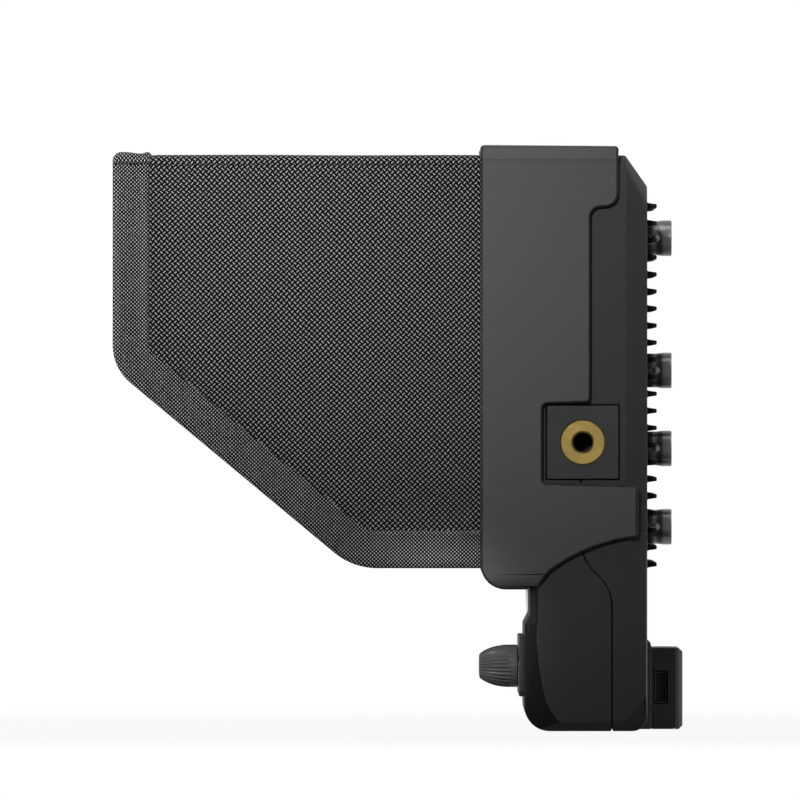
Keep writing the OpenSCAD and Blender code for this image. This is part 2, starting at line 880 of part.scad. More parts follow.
module side_insert() {
  chamfer = 0.3;
  color([0.6, 0.5, 0.27]) translate([0, block_centre.x, block_centre.y]) difference() {
    rod_x(insert_in_x, insert_out_x, insert_r);
    rod_x(insert_in_x - 1, insert_out_x + 1, insert_bore_r);
    translate([insert_out_x - chamfer, 0, 0]) rotate([0, 90, 0])
      cylinder(h = chamfer + eps, r1 = insert_bore_r, r2 = insert_bore_r + chamfer);
  }
}

module case_screws() {
  color([0.3, 0.3, 0.31]) at_screws() difference() {
    union() {
      rod_y(rear_y - head_h - 0.3, rear_y - 0.3, head_r);
      rod_y(boss_y[0] + 2, rear_y - head_h - 0.3, thread_r);
    }
    translate([0, rear_y, 0]) rotate([90, 0, 0]) cylinder(h = 1.2, r = 1.1, $fn = 6);
  }
}

// ---------- Hood frame ----------

// Side view of the frame: stepped round the mounting block, cut away over the controls
function frame_outline() =
  let (
    front = frame_front_y,
    arch = arc_points([frame_tab_y, frame_tab_z], arch_r, arch_h[0], arch_h[1], 8),
    foot = arc_points(arch[8], arch_foot_r, arch_foot_h[0], arch_foot_h[1], 4)
  )
  concat(
    rounded([
      [foot[4].x, frame_z[0] + eps, 0], [front, frame_z[0] + eps, 6.7],
      [front, frame_z[1] - eps, 1], [frame_back_y, frame_z[1] - frame_top_fall, 1],
      [frame_back_y, frame_step_z[1], 3.7], [frame_mid_y, frame_step_z[0], 2.6],
      [frame_mid_y, 87.7, 1.5], [-12.6, 87.3, 1.2], [-12.6, 66.3, 1.2],
      [frame_tab_y, 65.6, 1.2], [frame_tab_y, frame_tab_z, 0]
    ]),
    [for (i = [1:8]) arch[i]],
    [for (i = [1:3]) foot[i]]
  );

module hood_frame() {
  inner_hw = case_hw + frame_gap;
  lip_hw = ring_inner_x;
  color([0.29, 0.29, 0.29]) difference() {
    intersection() {
      xz_plate(frame_front_y, frame_tab_y + 1) difference() {
        round_rect(2 * frame_hw, frame_z[0], frame_z[1], 4);
        round_rect(2 * inner_hw, frame_z[0] + frame_t, case_top + clear, 2.5);
      }
      yz_prism(2 * frame_hw + 2) polygon(frame_outline());
    }
    box([-inner_hw, panel_top_y - 0.4, frame_z[0] - 1], [inner_hw, 20, 60]);
  }
  color([0.29, 0.29, 0.29]) intersection() {
    xz_plate(frame_front_y, frame_front_y + frame_lip_t) difference() {
      round_rect(2 * (frame_hw - eps), frame_z[0], frame_z[1] - eps, 4);
      translate([-lip_hw, side_flap_bottom_z - clear])
        square([2 * lip_hw, case_top + clear - side_flap_bottom_z + clear]);
    }
    yz_prism(2 * frame_hw + 2) polygon(frame_outline());
  }
}

// Ring behind the frame's lip, which the three flaps are taped to
module hood_base_ring() {
  color([0.1, 0.1, 0.1]) {
    xz_plate(ring_y[0], ring_y[1]) difference() {
      round_rect(case_w, ring_bottom_z, case_top, ring_corner_r);
      translate([-ring_inner_x, side_flap_bottom_z - clear])
        square([2 * ring_inner_x, ring_top_z - side_flap_bottom_z + clear]);
    }
    xz_plate(ring_y[1] - ring_flange_t, ring_y[1]) difference() {
      round_rect(case_w - 2, ring_bottom_z + 1, case_top - 1, ring_corner_r - 1);
      picture_outline(2);
    }
    box(
      [-flap_out_x, left_hinge_y + clear, side_flap_bottom_z - clear],
      [-left_rib_x, ring_y[1], ring_top_z]
    );
  }
}

// Ends of the three fabric hinges, glued to the ring beside each hinge line
module hinge_tapes() {
  flange_y = ring_y[1] - ring_flange_t;
  tape_z = [55, 150];
  color([0.09, 0.09, 0.09]) {
    box([flap_in_x - 3.2, flange_y - tape_t, tape_z[0]], [flap_in_x - 0.2, flange_y, tape_z[1]]);
    box([-left_rib_x, left_hinge_y + 0.4, tape_z[0]], [tape_t - left_rib_x, flange_y, tape_z[1]]);
    box([-79, top_hinge_y + 0.4, ring_top_z - tape_t], [79, flange_y, ring_top_z]);
  }
}

// ---------- Hood flaps ----------

// Side flap's outline, inset by m from its free edges
function side_flap_outline(hinge_y, m, top_r) =
  let (
    yf = hood_front_y, zf = hood_slant_z, zb = side_flap_bottom_z,
    yb = frame_front_y - hood_bottom_reach,
    slant = atan((zf - zb) / (yb - yf)),
    z_front = zf - m * tan(slant) + m / cos(slant),
    y_bottom = yf + (zf + m / cos(slant) - zb - m) / tan(slant)
  )
  rounded([
    [hinge_y, side_flap_top_z, 0], [yf + m, side_flap_top_z, top_r],
    [yf + m, z_front, flap_front_r - m], [y_bottom, zb + m, flap_bottom_r - m],
    [hinge_y, zb + m, 0]
  ]);

// Outer cloth and lining of a side flap, as two separate sheets
module side_cloth(hinge_y) {
  color([0.26, 0.26, 0.25]) for (x = [flap_in_x, flap_out_x - cloth_t])
    yz_slab(x, x + cloth_t) polygon(side_flap_outline(hinge_y, hem_w, 0));
}

module side_board(hinge_y) {
  color([0.1, 0.1, 0.1]) yz_slab(flap_in_x + cloth_t, flap_out_x - cloth_t)
    polygon(side_flap_outline(hinge_y, hem_w, 0));
}

// Hem that binds the free edges of a side flap
module side_hem(hinge_y) {
  color([0.32, 0.32, 0.31]) yz_slab(flap_in_x, flap_out_x + hem_proud) difference() {
    polygon(side_flap_outline(hinge_y, 0, 0.8));
    polygon(concat(
      side_flap_outline(hinge_y, hem_w, 0),
      [[hinge_y + 1, side_flap_bottom_z + hem_w], [hinge_y + 1, side_flap_top_z + 1],
        [hood_front_y + hem_w, side_flap_top_z + 1]]
    ));
  }
}

// Top flap's outline from above, from y0 back to y1
module top_outline(y0, y1, corner_r) {
  polygon(rounded([
    [-flap_in_x + clear, y1, 0], [-flap_in_x + clear, y0, corner_r],
    [flap_in_x - clear, y0, corner_r], [flap_in_x - clear, y1, 0]
  ]));
}

module top_flap_layer(z, t) {
  translate([0, 0, z]) linear_extrude(t) top_outline(hood_front_y + hem_w, top_hinge_y, 0);
}

module top_flap_cloth() {
  color([0.26, 0.26, 0.25]) {
    top_flap_layer(flap_under_z, cloth_t);
    top_flap_layer(flap_top_z - cloth_t, cloth_t);
  }
}

module top_flap_board() {
  color([0.1, 0.1, 0.1]) top_flap_layer(flap_under_z + cloth_t, board_core_t);
}

module top_flap_hem() {
  back_y = hood_front_y + hem_w;
  top_z = flap_top_z + top_hem_proud;
  color([0.32, 0.32, 0.31]) intersection() {
    translate([0, 0, flap_under_z]) linear_extrude(flap_t + top_hem_proud)
      top_outline(hood_front_y, back_y, 2);
    yz_prism(case_w) polygon(rounded([
      [hood_front_y, flap_under_z, 0.6], [hood_front_y, top_z, 2.2], [back_y, top_z, 0.6],
      [back_y, flap_under_z, 0]
    ]));
  }
}

// ---------- Assembly ----------

front_shell();
rear_shell();
heat_sink();
thermal_pad();
screen_glass();
screen_gasket();
display_panel();
display_bracket();
main_board();
board_chips();
control_board();
display_ribbon();
control_ribbon();
bnc_plate();
for (i = [0:3]) bnc_jack(bnc_z[i]);
bnc_nuts();
bnc_insulators();
bnc_contacts();
connector_housing();
connector_plate();
plate_screws();
power_socket();
power_pin();
service_port();
control_fascia();
potentiometers();
tact_switches();
side_block();  // side_block_right
mirror([1, 0, 0]) side_block();  // side_block_left
side_insert();  // side_insert_right
mirror([1, 0, 0]) side_insert();  // side_insert_left
case_screws();
board_screws();
for (i = [0:2]) {
  knob(knob_x[i]);
  knob_shaft(knob_x[i]);
  function_button(button_x[2 - i]);
}
hood_frame();
hood_base_ring();
hinge_tapes();
side_cloth(right_hinge_y);  // right_flap_cloth
side_board(right_hinge_y);  // right_flap_board
side_hem(right_hinge_y);  // right_flap_hem
mirror([1, 0, 0]) side_cloth(left_hinge_y);  // left_flap_cloth
mirror([1, 0, 0]) side_board(left_hinge_y);  // left_flap_board
mirror([1, 0, 0]) side_hem(left_hinge_y);  // left_flap_hem
top_flap_cloth();
top_flap_board();
top_flap_hem();
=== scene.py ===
"""Finishes, cloth, turned parts, light and camera for the camera field monitor with its sun hood."""
import json
import math

import bmesh
import bpy
from mathutils import Matrix, Vector


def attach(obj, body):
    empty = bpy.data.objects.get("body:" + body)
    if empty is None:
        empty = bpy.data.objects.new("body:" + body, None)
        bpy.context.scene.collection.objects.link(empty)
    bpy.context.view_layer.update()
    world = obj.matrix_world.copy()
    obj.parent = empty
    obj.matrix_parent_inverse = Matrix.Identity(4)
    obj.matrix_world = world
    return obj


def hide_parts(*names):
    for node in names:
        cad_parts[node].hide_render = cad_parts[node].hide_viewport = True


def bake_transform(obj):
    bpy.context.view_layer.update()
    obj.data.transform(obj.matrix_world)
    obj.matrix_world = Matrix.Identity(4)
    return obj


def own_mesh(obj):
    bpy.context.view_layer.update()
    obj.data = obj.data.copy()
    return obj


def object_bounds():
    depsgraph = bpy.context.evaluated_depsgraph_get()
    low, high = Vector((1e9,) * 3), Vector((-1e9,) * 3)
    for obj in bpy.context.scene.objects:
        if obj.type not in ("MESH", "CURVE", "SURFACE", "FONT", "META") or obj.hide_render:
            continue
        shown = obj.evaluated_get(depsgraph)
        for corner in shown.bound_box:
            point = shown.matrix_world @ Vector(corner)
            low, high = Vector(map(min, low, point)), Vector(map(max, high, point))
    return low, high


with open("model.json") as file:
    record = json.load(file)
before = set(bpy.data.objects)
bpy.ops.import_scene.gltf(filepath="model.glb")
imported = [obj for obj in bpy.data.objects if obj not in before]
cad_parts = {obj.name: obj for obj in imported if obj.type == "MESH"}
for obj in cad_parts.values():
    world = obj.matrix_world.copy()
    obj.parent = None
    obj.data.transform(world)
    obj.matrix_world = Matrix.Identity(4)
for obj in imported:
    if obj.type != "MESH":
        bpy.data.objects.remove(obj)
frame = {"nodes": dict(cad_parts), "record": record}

CAD_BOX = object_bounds()
MM = 0.001
SCENE = bpy.context.scene
BODIES = frame["record"]["behaviour"]["bodies"]
BODY_OF = {node: body for body, nodes in BODIES.items() for node in nodes}
SLOT_OF = {part["node"]: part["material_slot"] for part in frame["record"]["subparts"]}

# Places that the cloth and the turned parts share with the solids, in millimetres
HOOD_FRONT_Y = -127.4
SLANT_Z = 96.9
SLANT_Y = -63.3
FLAP_BOTTOM_Z = 43.5
FLAP_TOP_Z = 151.4
FLAP_IN_X = 81.6
FLAP_OUT_X = 83.6
HEM_W = 10
HINGE_Y = {"right": -22, "left": -24.9}
TOP_HINGE_Y = -27.9
TOP_UNDER_Z = 151.7
TOP_Z = 153.7
KNOB_X = {"brightness": 28, "contrast": 46, "peaking": 64}
CONTROL_Z = 17.2
SOCKET_X = -52
SOCKET_Z = (132.2, 96.4, 75.3, 54.1)
INSERT_CENTRE = (-1.95, 77.1)
INSERT_END_X = 78.0
CASE_SCREW_X = 78.3
SINK_SCREW_X = 66
PLATE_SCREW_X = 26.5
PLATE_SCREW_Z = (4.5, 18.5)
PLATE_SCREW_Y = 23.9
POWER_X = -12
PORT_Z = 11.3
FRAME_SIDE_X = 88.2


# ---------- Camera ----------

def place_camera():
    """Looks along -X, as the photograph does, from far off with a long lens."""
    data = bpy.data.cameras.new("side_camera")
    data.sensor_width = 36
    data.lens = 1600
    data.clip_end = 100
    camera = bpy.data.objects.new("side_camera", data)
    camera.location = (9.572, -0.0507, 0.0884)
    camera.rotation_euler = (math.pi / 2, 0, math.pi / 2)
    SCENE.collection.objects.link(camera)
    SCENE.camera = camera


place_camera()


# ---------- Finishes ----------

class Wire:
    """A shader socket, on which Python's arithmetic adds Math nodes."""

    def __init__(self, finish, socket):
        self.finish = finish
        self.socket = socket

    def math(self, operation, *values):
        return self.finish.add("ShaderNodeMath", {"operation": operation}, dict(enumerate(values)))

    def __add__(self, other):
        return self.math("ADD", self, other)

    def __radd__(self, other):
        return self.math("ADD", other, self)

    def __sub__(self, other):
        return self.math("SUBTRACT", self, other)

    def __rsub__(self, other):
        return self.math("SUBTRACT", other, self)

    def __mul__(self, other):
        return self.math("MULTIPLY", self, other)

    def __rmul__(self, other):
        return self.math("MULTIPLY", other, self)

    def __truediv__(self, other):
        return self.math("DIVIDE", self, other)

    def __mod__(self, other):
        return self.math("FLOORED_MODULO", self, other)

    def __pow__(self, other):
        return self.math("POWER", self, other)

    def __abs__(self):
        return self.math("ABSOLUTE", self)

    def floor(self):
        return self.math("FLOOR", self)

    def sine(self):
        return self.math("SINE", self)

    def over(self, limit):
        return self.math("GREATER_THAN", self, limit)

    def most(self, other):
        return self.math("MAXIMUM", self, other)

    def ramp(self, low, high, start=0.0, end=1.0):
        """Runs smoothly from start to end while this goes from low to high."""
        return self.finish.add(
            "ShaderNodeMapRange", {"interpolation_type": "SMOOTHSTEP"},
            {"Value": self, "From Min": low, "From Max": high, "To Min": start, "To Max": end})


class Finish:
    """A material, or the world, whose nodes all come from add()."""

    def __init__(self, name, world=False):
        self.material = (bpy.data.worlds if world else bpy.data.materials).new(name)
        self.material.use_nodes = True
        self.tree = self.material.node_tree
        self.tree.nodes.clear()

    def add(self, kind, settings, values, output=0):
        node = self.tree.nodes.new(kind)
        for key, setting in settings.items():
            setattr(node, key, setting)
        for key, value in values.items():
            if isinstance(value, Wire):
                self.tree.links.new(value.socket, node.inputs[key])
            else:
                node.inputs[key].default_value = value
        return Wire(self, node.outputs[output] if len(node.outputs) else None)

    def point(self):
        return self.add("ShaderNodeTexCoord", {}, {}, "Object")

    def place(self):
        """Object coordinates as x, y and z, in metres."""
        point = self.point()
        return [self.add("ShaderNodeSeparateXYZ", {}, {"Vector": point}, axis) for axis in "XYZ"]

    def cloth_place(self):
        """The piece's own cloth coordinates, in metres."""
        point = self.add("ShaderNodeUVMap", {"uv_map": "cloth"}, {})
        return [self.add("ShaderNodeSeparateXYZ", {}, {"Vector": point}, axis) for axis in "XY"]

    def noise(self, size, detail=2.0, stretch=(1, 1, 1)):
        """Noise from 0 to 1 whose lumps are about size metres, drawn out by stretch."""
        squeezed = self.add(
            "ShaderNodeVectorMath", {"operation": "DIVIDE"}, {0: self.point(), 1: stretch})
        return self.add(
            "ShaderNodeTexNoise", {}, {"Vector": squeezed, "Scale": 1 / size, "Detail": detail})

    def attribute(self, name):
        return self.add("ShaderNodeAttribute", {"attribute_name": name}, {}, "Fac")

    def mix(self, amount, first, second):
        """Goes from the first colour to the second."""
        # The colour sockets of a Mix node come after those for numbers and vectors
        return self.add(
            "ShaderNodeMix", {"data_type": "RGBA"},
            {0: amount, 6: rgba(first), 7: rgba(second)}, 2)

    def shade(self, amount, colour, low, high):
        """The colour times low to times high, as amount goes from 0 to 1."""
        return self.mix(amount, [low * c for c in colour], [high * c for c in colour])

    def bump(self, height, depth):
        """A normal from a height whose 1 is depth metres."""
        return self.add("ShaderNodeBump", {}, {"Height": height, "Strength": 1, "Distance": depth})

    def seen(self):
        """1 for rays from the camera, and for those that a surface reflects or lets through."""
        rays = [
            self.add("ShaderNodeLightPath", {}, {}, kind)
            for kind in ("Is Camera Ray", "Is Glossy Ray", "Is Transmission Ray")]
        return rays[0].most(rays[1]).most(rays[2])

    def done(self, **sockets):
        """Ends in a Principled shader with these sockets, and returns the material."""
        names = {key: key.replace("_", " ").title().replace("Ior", "IOR") for key in sockets}
        shader = self.add(
            "ShaderNodeBsdfPrincipled", {}, {names[key]: value for key, value in sockets.items()})
        self.add("ShaderNodeOutputMaterial", {}, {"Surface": shader})
        return self.material


def rgba(colour):
    """A colour socket's four numbers, or the link as it is."""
    return colour if isinstance(colour, Wire) else (*colour[:3], 1)


def moulded(name, colour, rough, shine, grain=0.35, depth=0.004, scuff_and_shading_share=0.35, scuff_and_shading_tone=1.9):
    """Textured plastic or paint: fine grain, faint clouding, and rounded edges in another tone,
    partly scuffing and partly painted light: a painted highlight where lighter, painted shade where
    darker.
    """
    f = Finish(name)
    clouds = f.noise(24 * MM, 4)
    fine = f.noise(grain * MM, 3)
    # Tone on the rounded edges: scuffing with a painted highlight when lighter, painted shade when
    # darker
    scuff_and_shading = f.attribute("edge") * f.noise(3 * MM, 3).ramp(0.35, 0.7, 0.3, 1) * scuff_and_shading_share
    base = f.mix(scuff_and_shading, f.shade(clouds, colour, 0.99, 1.01), [scuff_and_shading_tone * c for c in colour])
    return f.done(
        base_color=base,
        roughness=rough + 0.04 * (fine - 0.5),
        specular_ior_level=shine,
        normal=f.bump(fine, depth * MM))


def turned(name, colour, rough, axis, centre=(0, 0), pitch=0.16):
    """Metal cut on a lathe: rings round the axis, with a little dirt between them."""
    f = Finish(name)
    x, y, z = f.place()
    across, up = (y, z) if axis == "X" else (x, z)
    across, up = across - centre[0] * MM, up - centre[1] * MM
    radius = (across * across + up * up) ** 0.5
    rings = (radius * (2 * math.pi / (pitch * MM))).sine() * 0.5 + 0.5
    dirt = f.noise(1.5 * MM, 4).ramp(0.35, 0.75)
    return f.done(
        base_color=f.mix(dirt, [0.82 * c for c in colour], colour),
        metallic=1.0,
        roughness=rough + 0.10 * (1 - dirt) + 0.05 * rings,
        normal=f.bump(rings, 0.004 * MM))


def brushed(name, colour, rough, stretch):
    """Sheet or plated metal with fine lines drawn along one way."""
    f = Finish(name)
    lines = f.noise(0.2 * MM, 3, stretch)
    stain = f.noise(9 * MM, 4)
    return f.done(
        base_color=f.shade(stain, colour, 0.88, 1.05),
        metallic=1.0,
        roughness=rough + 0.18 * (lines - 0.5),
        normal=f.bump(lines, 0.006 * MM))


def rubbery(name, colour, rough=0.75):
    f = Finish(name)
    fine = f.noise(0.25 * MM, 4)
    dust = f.noise(6 * MM, 5).ramp(0.5, 0.85)
    return f.done(
        base_color=f.mix(dust * 0.25, colour, [c + 0.03 for c in colour]),
        roughness=rough + 0.1 * (fine - 0.5),
        specular_ior_level=0.25,
        normal=f.bump(fine, 0.02 * MM))


TRACK_PITCH = 1.2


def circuit(name):
    """Green solder mask over copper tracks."""
    f = Finish(name)
    x, _, z = f.place()
    slant = x + z * 0.5
    lane = slant.math("PINGPONG", slant, TRACK_PITCH * MM) / (TRACK_PITCH * MM)
    track = lane.ramp(0.42, 0.5) * f.noise(7 * MM, 0, (3, 1, 1)).over(0.52)
    return f.done(
        base_color=f.mix(track, (0.012, 0.075, 0.035), (0.03, 0.16, 0.07)),
        roughness=0.32 + 0.15 * f.noise(2 * MM),
        normal=f.bump(track, 0.03 * MM))


WIRE_PITCH = 0.8


def film(name, colour):
    """Thin amber film with copper lines inside."""
    f = Finish(name)
    x, _, _ = f.place()
    line = (x * (2 * math.pi / (WIRE_PITCH * MM))).sine().ramp(-0.2, 0.2)
    return f.done(
        base_color=f.mix(line, [0.6 * c for c in colour], colour),
        roughness=0.25 + 0.1 * f.noise(4 * MM),
        coat_weight=0.4 + 0.1 * line)


PICTURE_Z = 98.6
PICTURE_HW = 76
PICTURE_HH = 47.8


def screen_cover():
    """Smoked glass with a black printed border round the picture."""
    f = Finish("cover_glass")
    x, _, z = f.place()
    side = abs(x) - PICTURE_HW * MM
    height = abs(z - PICTURE_Z * MM) - PICTURE_HH * MM
    border = side.most(height).ramp(-0.05 * MM, 0.05 * MM)
    smear = f.noise(22 * MM, 4, (1, 1, 2)).ramp(0.4, 0.8)
    return f.done(
        base_color=f.mix(border, (0.012, 0.013, 0.016), (0.002, 0.002, 0.002)),
        roughness=0.06 + 0.07 * smear,
        specular_ior_level=0.5,
        coat_weight=0.3 + 0.2 * smear)


def woven(name, strand, turn, yarns, gap, wide, long, relief, tint=0.14, speck=0.35):
    """Plain weave: at each crossing one strand shows, as a float wide by long of the strand pitch.
    yarns are the colours of the two directions, and gap is what shows between floats."""
    f = Finish(name)
    u, v = f.cloth_place()
    # The strands wander a little from their line
    drift = f.noise(16 * MM, 2) * 1.1
    turn_c, turn_s = math.cos(turn) / (strand * MM), math.sin(turn) / (strand * MM)
    p = u * turn_c + v * turn_s + drift
    q = v * turn_c - u * turn_s + drift
    warp, weft = p.floor(), q.floor()
    in_p, in_q = p - warp, q - weft
    top = (warp + weft) % 2.0
    across = abs(in_p + (in_q - in_p) * top - 0.5)
    along = abs(in_q + (in_p - in_q) * top - 0.5)
    bulge = across.ramp(wide * 0.5 - 0.08, wide * 0.5 + 0.08, 1, 0)
    reach = along.ramp(long * 0.5 - 0.1, long * 0.5 + 0.1, 1, 0)
    crown = bulge * reach
    strand_id = warp * 0.731 + (weft * 0.377 - warp * 0.731) * top
    lot = f.add("ShaderNodeTexWhiteNoise", {"noise_dimensions": "1D"}, {"W": strand_id})
    fibre = f.noise(strand * 0.22 * MM, 2)
    lit = crown * ((1 - tint) + tint * lot) * ((1 - speck) + 2 * speck * fibre)
    yarn = f.mix(top, yarns[0], yarns[1])
    return f.done(
        base_color=f.mix(lit, gap, yarn),
        roughness=0.8 + 0.12 * fibre,
        specular_ior_level=0.04,
        normal=f.bump(crown * 0.85 + 0.15 * fibre, relief * MM))


CASE = (0.046, 0.046, 0.046)
# The chin's colour: a darker plastic, made darker still as painted shade under the hood
CHIN_PLASTIC_AND_SHADE = (0.011, 0.011, 0.011)
FRAME = (0.076, 0.076, 0.076)

FINISHES = {
    # The case's rounded edges come out lighter: scuffing and a painted highlight along them
    "case_grey": moulded("case_grey", CASE, 0.5, 0.03, scuff_and_shading_share=0.6),
    "front_grey": moulded("front_grey", CASE, 0.5, 0.03, scuff_and_shading_share=0.6),
    # chin_black: the chin's darker plastic, deepened with painted shade for the hood's shadow
    "chin_black": moulded("chin_black", CHIN_PLASTIC_AND_SHADE, 0.5, 0.03),
    # The frame's rounded edges are painted dark: painted shade on the rounding
    "frame_grey": moulded("frame_grey", FRAME, 0.46, 0.03, scuff_and_shading_share=3, scuff_and_shading_tone=0.3),
    "heat_sink_black": moulded("heat_sink_black", (0.013, 0.013, 0.013), 0.42, 0.03, grain=0.15),
    "silicone_pad": rubbery("silicone_pad", (0.30, 0.38, 0.50)),
    "cover_glass": screen_cover(),
    "gasket_black": rubbery("gasket_black", (0.012, 0.012, 0.012)),
    "panel_black": moulded("panel_black", (0.010, 0.010, 0.013), 0.2, 0.4),
    "sheet_steel": brushed("sheet_steel", (0.42, 0.43, 0.44), 0.34, (8, 1, 1)),
    "circuit_green": circuit("circuit_green"),
    "chip_black": moulded("chip_black", (0.014, 0.014, 0.015), 0.6, 0.3, grain=0.1),
    "ribbon_amber": film("ribbon_amber", (0.50, 0.30, 0.08)),
    "connector_nickel": brushed("connector_nickel", (0.125, 0.125, 0.127), 0.3, (1, 6, 1)),
    "insulator_white": moulded("insulator_white", (0.75, 0.75, 0.72), 0.4, 0.4, grain=0.2),
    "contact_gold": turned("contact_gold", (0.55, 0.38, 0.12), 0.25, "Y", (SOCKET_X, 0)),
    "housing_black": moulded("housing_black", (0.031, 0.031, 0.031), 0.48, 0.05, grain=0.25),
    "plate_grey": moulded("plate_grey", (0.08, 0.08, 0.08), 0.4, 0.1, grain=0.2),
    "port_cover": rubbery("port_cover", (0.013, 0.013, 0.009), 0.6),
    "block_grey": moulded("block_grey", (0.052, 0.052, 0.052), 0.5, 0.03, grain=0.25),
    "insert_brass": turned("insert_brass", (0.17, 0.121, 0.037), 0.3, "X", INSERT_CENTRE),
    "screw_black": brushed("screw_black", (0.035, 0.035, 0.036), 0.4, (1, 1, 1)),
    "steel_bright": brushed("steel_bright", (0.40, 0.40, 0.42), 0.28, (1, 5, 1)),
    "knob_black": moulded("knob_black", (0.042, 0.042, 0.042), 0.3, 0.05, grain=0.12, scuff_and_shading_share=0.5),
    "button_black": rubbery("button_black", (0.012, 0.012, 0.012), 0.6),
    "ring_black": moulded("ring_black", (0.008, 0.008, 0.008), 0.7, 0.06),
    "tape_black": rubbery("tape_black", (0.010, 0.010, 0.010), 0.85),
    "hood_board": moulded("hood_board", (0.008, 0.008, 0.008), 0.7, 0.05),
    "hood_cloth": woven(
        "hood_cloth", 1.05, math.radians(45), [(0.33, 0.325, 0.308), (0.33, 0.325, 0.308)],
        (0.002, 0.002, 0.002), 0.33, 0.76, 0.16),
    "hood_hem": woven(
        "hood_hem", 0.5, 0, [(0.45, 0.443, 0.422), (0.010, 0.010, 0.009)],
        (0.002, 0.002, 0.002), 0.62, 0.74, 0.09, speck=0.3),
    "hood_lining": woven(
        "hood_lining", 0.32, math.radians(45), [(0.022, 0.022, 0.022), (0.018, 0.018, 0.018)],
        (0.004, 0.004, 0.004), 0.8, 0.95, 0.05),
}

for node, thing in frame["nodes"].items():
    thing.data.materials.clear()
    thing.data.materials.append(FINISHES[SLOT_OF[node]])


# ---------- Making pieces ----------

def piece(name, form, finish, body, stands_for=(), smooth=32):
    """Turns a bmesh in millimetres into a piece that rides on a body."""
    bmesh.ops.scale(form, verts=form.verts, vec=(MM, MM, MM))
    return finished(name, form, finish, body, stands_for, smooth)


def finished(name, form, finish, body, stands_for=(), smooth=32):
    """Turns a bmesh in metres into a piece. finish is a slot, or a list of slots of which the
    first is the piece's own."""
    slots = finish if isinstance(finish, list) else [finish]
    mesh = bpy.data.meshes.new(name)
    form.to_mesh(mesh)
    form.free()
    for slot in slots:
        mesh.materials.append(FINISHES[slot])
    mesh.shade_smooth()
    mesh.set_sharp_from_angle(angle=math.radians(smooth))
    thing = bpy.data.objects.new(name, mesh)
    SCENE.collection.objects.link(thing)
    slots[0] if slots[0] in SLOT_OF.values() else "hood_cloth"
    if stands_for:
        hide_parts(*stands_for)
    if body:
        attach(thing, body)
    return thing


def softened(node, width, angle=24, segments=2, cuts=(), shape=None, paint=None):
    """A copy of a solid with its sharp edges rounded by width. cuts are (axis, place) planes that
    keep an edge through each hole, so that no merged face has a hole in it. shape works on the
    copy before the edges are rounded, and paint gives each face 1 where it is chin_black."""
    form = bmesh.new()
    form.from_mesh(frame["nodes"][node].data)
    bmesh.ops.remove_doubles(form, verts=form.verts, dist=0.03 * MM)
    for axis, place in cuts:
        way = Vector([float(letter == axis) for letter in "xyz"])
        bmesh.ops.bisect_plane(
            form, geom=form.verts[:] + form.edges[:] + form.faces[:], dist=1e-6,
            plane_co=way * place * MM, plane_no=way)
    spare = [
        edge for edge in form.edges
        if not any(all(abs(getattr(vert.co, axis) - place * MM) < 2e-6 for vert in edge.verts)
                   for axis, place in cuts)]
    bmesh.ops.dissolve_limit(
        form, angle_limit=math.radians(0.6), verts=form.verts, edges=spare,
        use_dissolve_boundaries=False)
    if shape:
        shape(form)
    sharp = [
        edge for edge in form.edges
        if len(edge.link_faces) == 2 and edge.calc_face_angle(0) > math.radians(angle)]
    made = bmesh.ops.bevel(
        form, geom=sharp, offset=width * MM, offset_type="OFFSET", affect="EDGES",
        segments=segments, profile=0.5, material=-1, clamp_overlap=False, loop_slide=True)
    # Marks the rounded faces for the edge tone, which is scuffing plus a painted highlight, and
    # painted shade on the frame
    scuff_and_shading_edge = form.verts.layers.float.new("edge")
    rounds = set(made["faces"])
    for vert in {v for face in rounds for v in face.verts}:
        vert[scuff_and_shading_edge] = float(rounds.issuperset(vert.link_faces))
    for face in form.faces:
        face.material_index = paint(face) if paint else 0
    slots = [SLOT_OF[node], "chin_black"] if paint else SLOT_OF[node]
    thing = finished(f"{node}_soft", form, slots, BODY_OF[node], [node], 40)
    thing.modifiers.new("weighted", "WEIGHTED_NORMAL").keep_sharp = True


def absorb(form, part):
    """Moves a small bmesh into a larger one."""
    mesh = bpy.data.meshes.new("part")
    part.to_mesh(mesh)
    part.free()
    form.from_mesh(mesh)
    bpy.data.meshes.remove(mesh)


def lengths(points):
    """How far along a line of points each of them is."""
    run = [0.0]
    for a, b in zip(points, points[1:]):
        run.append(run[-1] + math.dist(a, b))
    return run


def facing(axis, at):
    """Stands a form that was made along +Z on the point at, along the axis. Millimetres."""
    spin = Vector((0, 0, 1)).rotation_difference(Vector(axis)).to_matrix().to_4x4()
    return Matrix.Translation(Vector(at)) @ spin


def lathe(outline, steps, axis=(0, 0, 1), at=(0, 0, 0)):
    """Spins an outline of (radius, height) points round +Z, then stands it along the axis."""
    form = bmesh.new()
    line = [form.verts.new((radius, 0, height)) for radius, height in outline]
    edges = [form.edges.new(pair) for pair in zip(line, line[1:])]
    bmesh.ops.spin(
        form, geom=line + edges, cent=(0, 0, 0), axis=(0, 0, 1), angle=math.tau, steps=steps,
        use_merge=True, use_duplicate=False)
    bmesh.ops.remove_doubles(form, verts=form.verts, dist=1e-4)
    bmesh.ops.recalc_face_normals(form, faces=form.faces)
    bmesh.ops.transform(form, matrix=facing(axis, at), verts=form.verts)
    return form


# ---------- Case and hood frame ----------

def chin_plastic_and_shade(face):
    """The control section's front, round to its slanted edge, is painted darker: partly a darker
    plastic, partly painted shade for the shadow that the hood casts there.
    """
    centre = face.calc_center_median() / MM
    return 1 if centre.z < 45 and face.normal.y < -0.25 and centre.y < -5 else 0


STEP_FOOT_Z, STEP_Z, STEP_TOP_Z = 152.1, 152.5, 152.8
STEP_OUT = 0.22


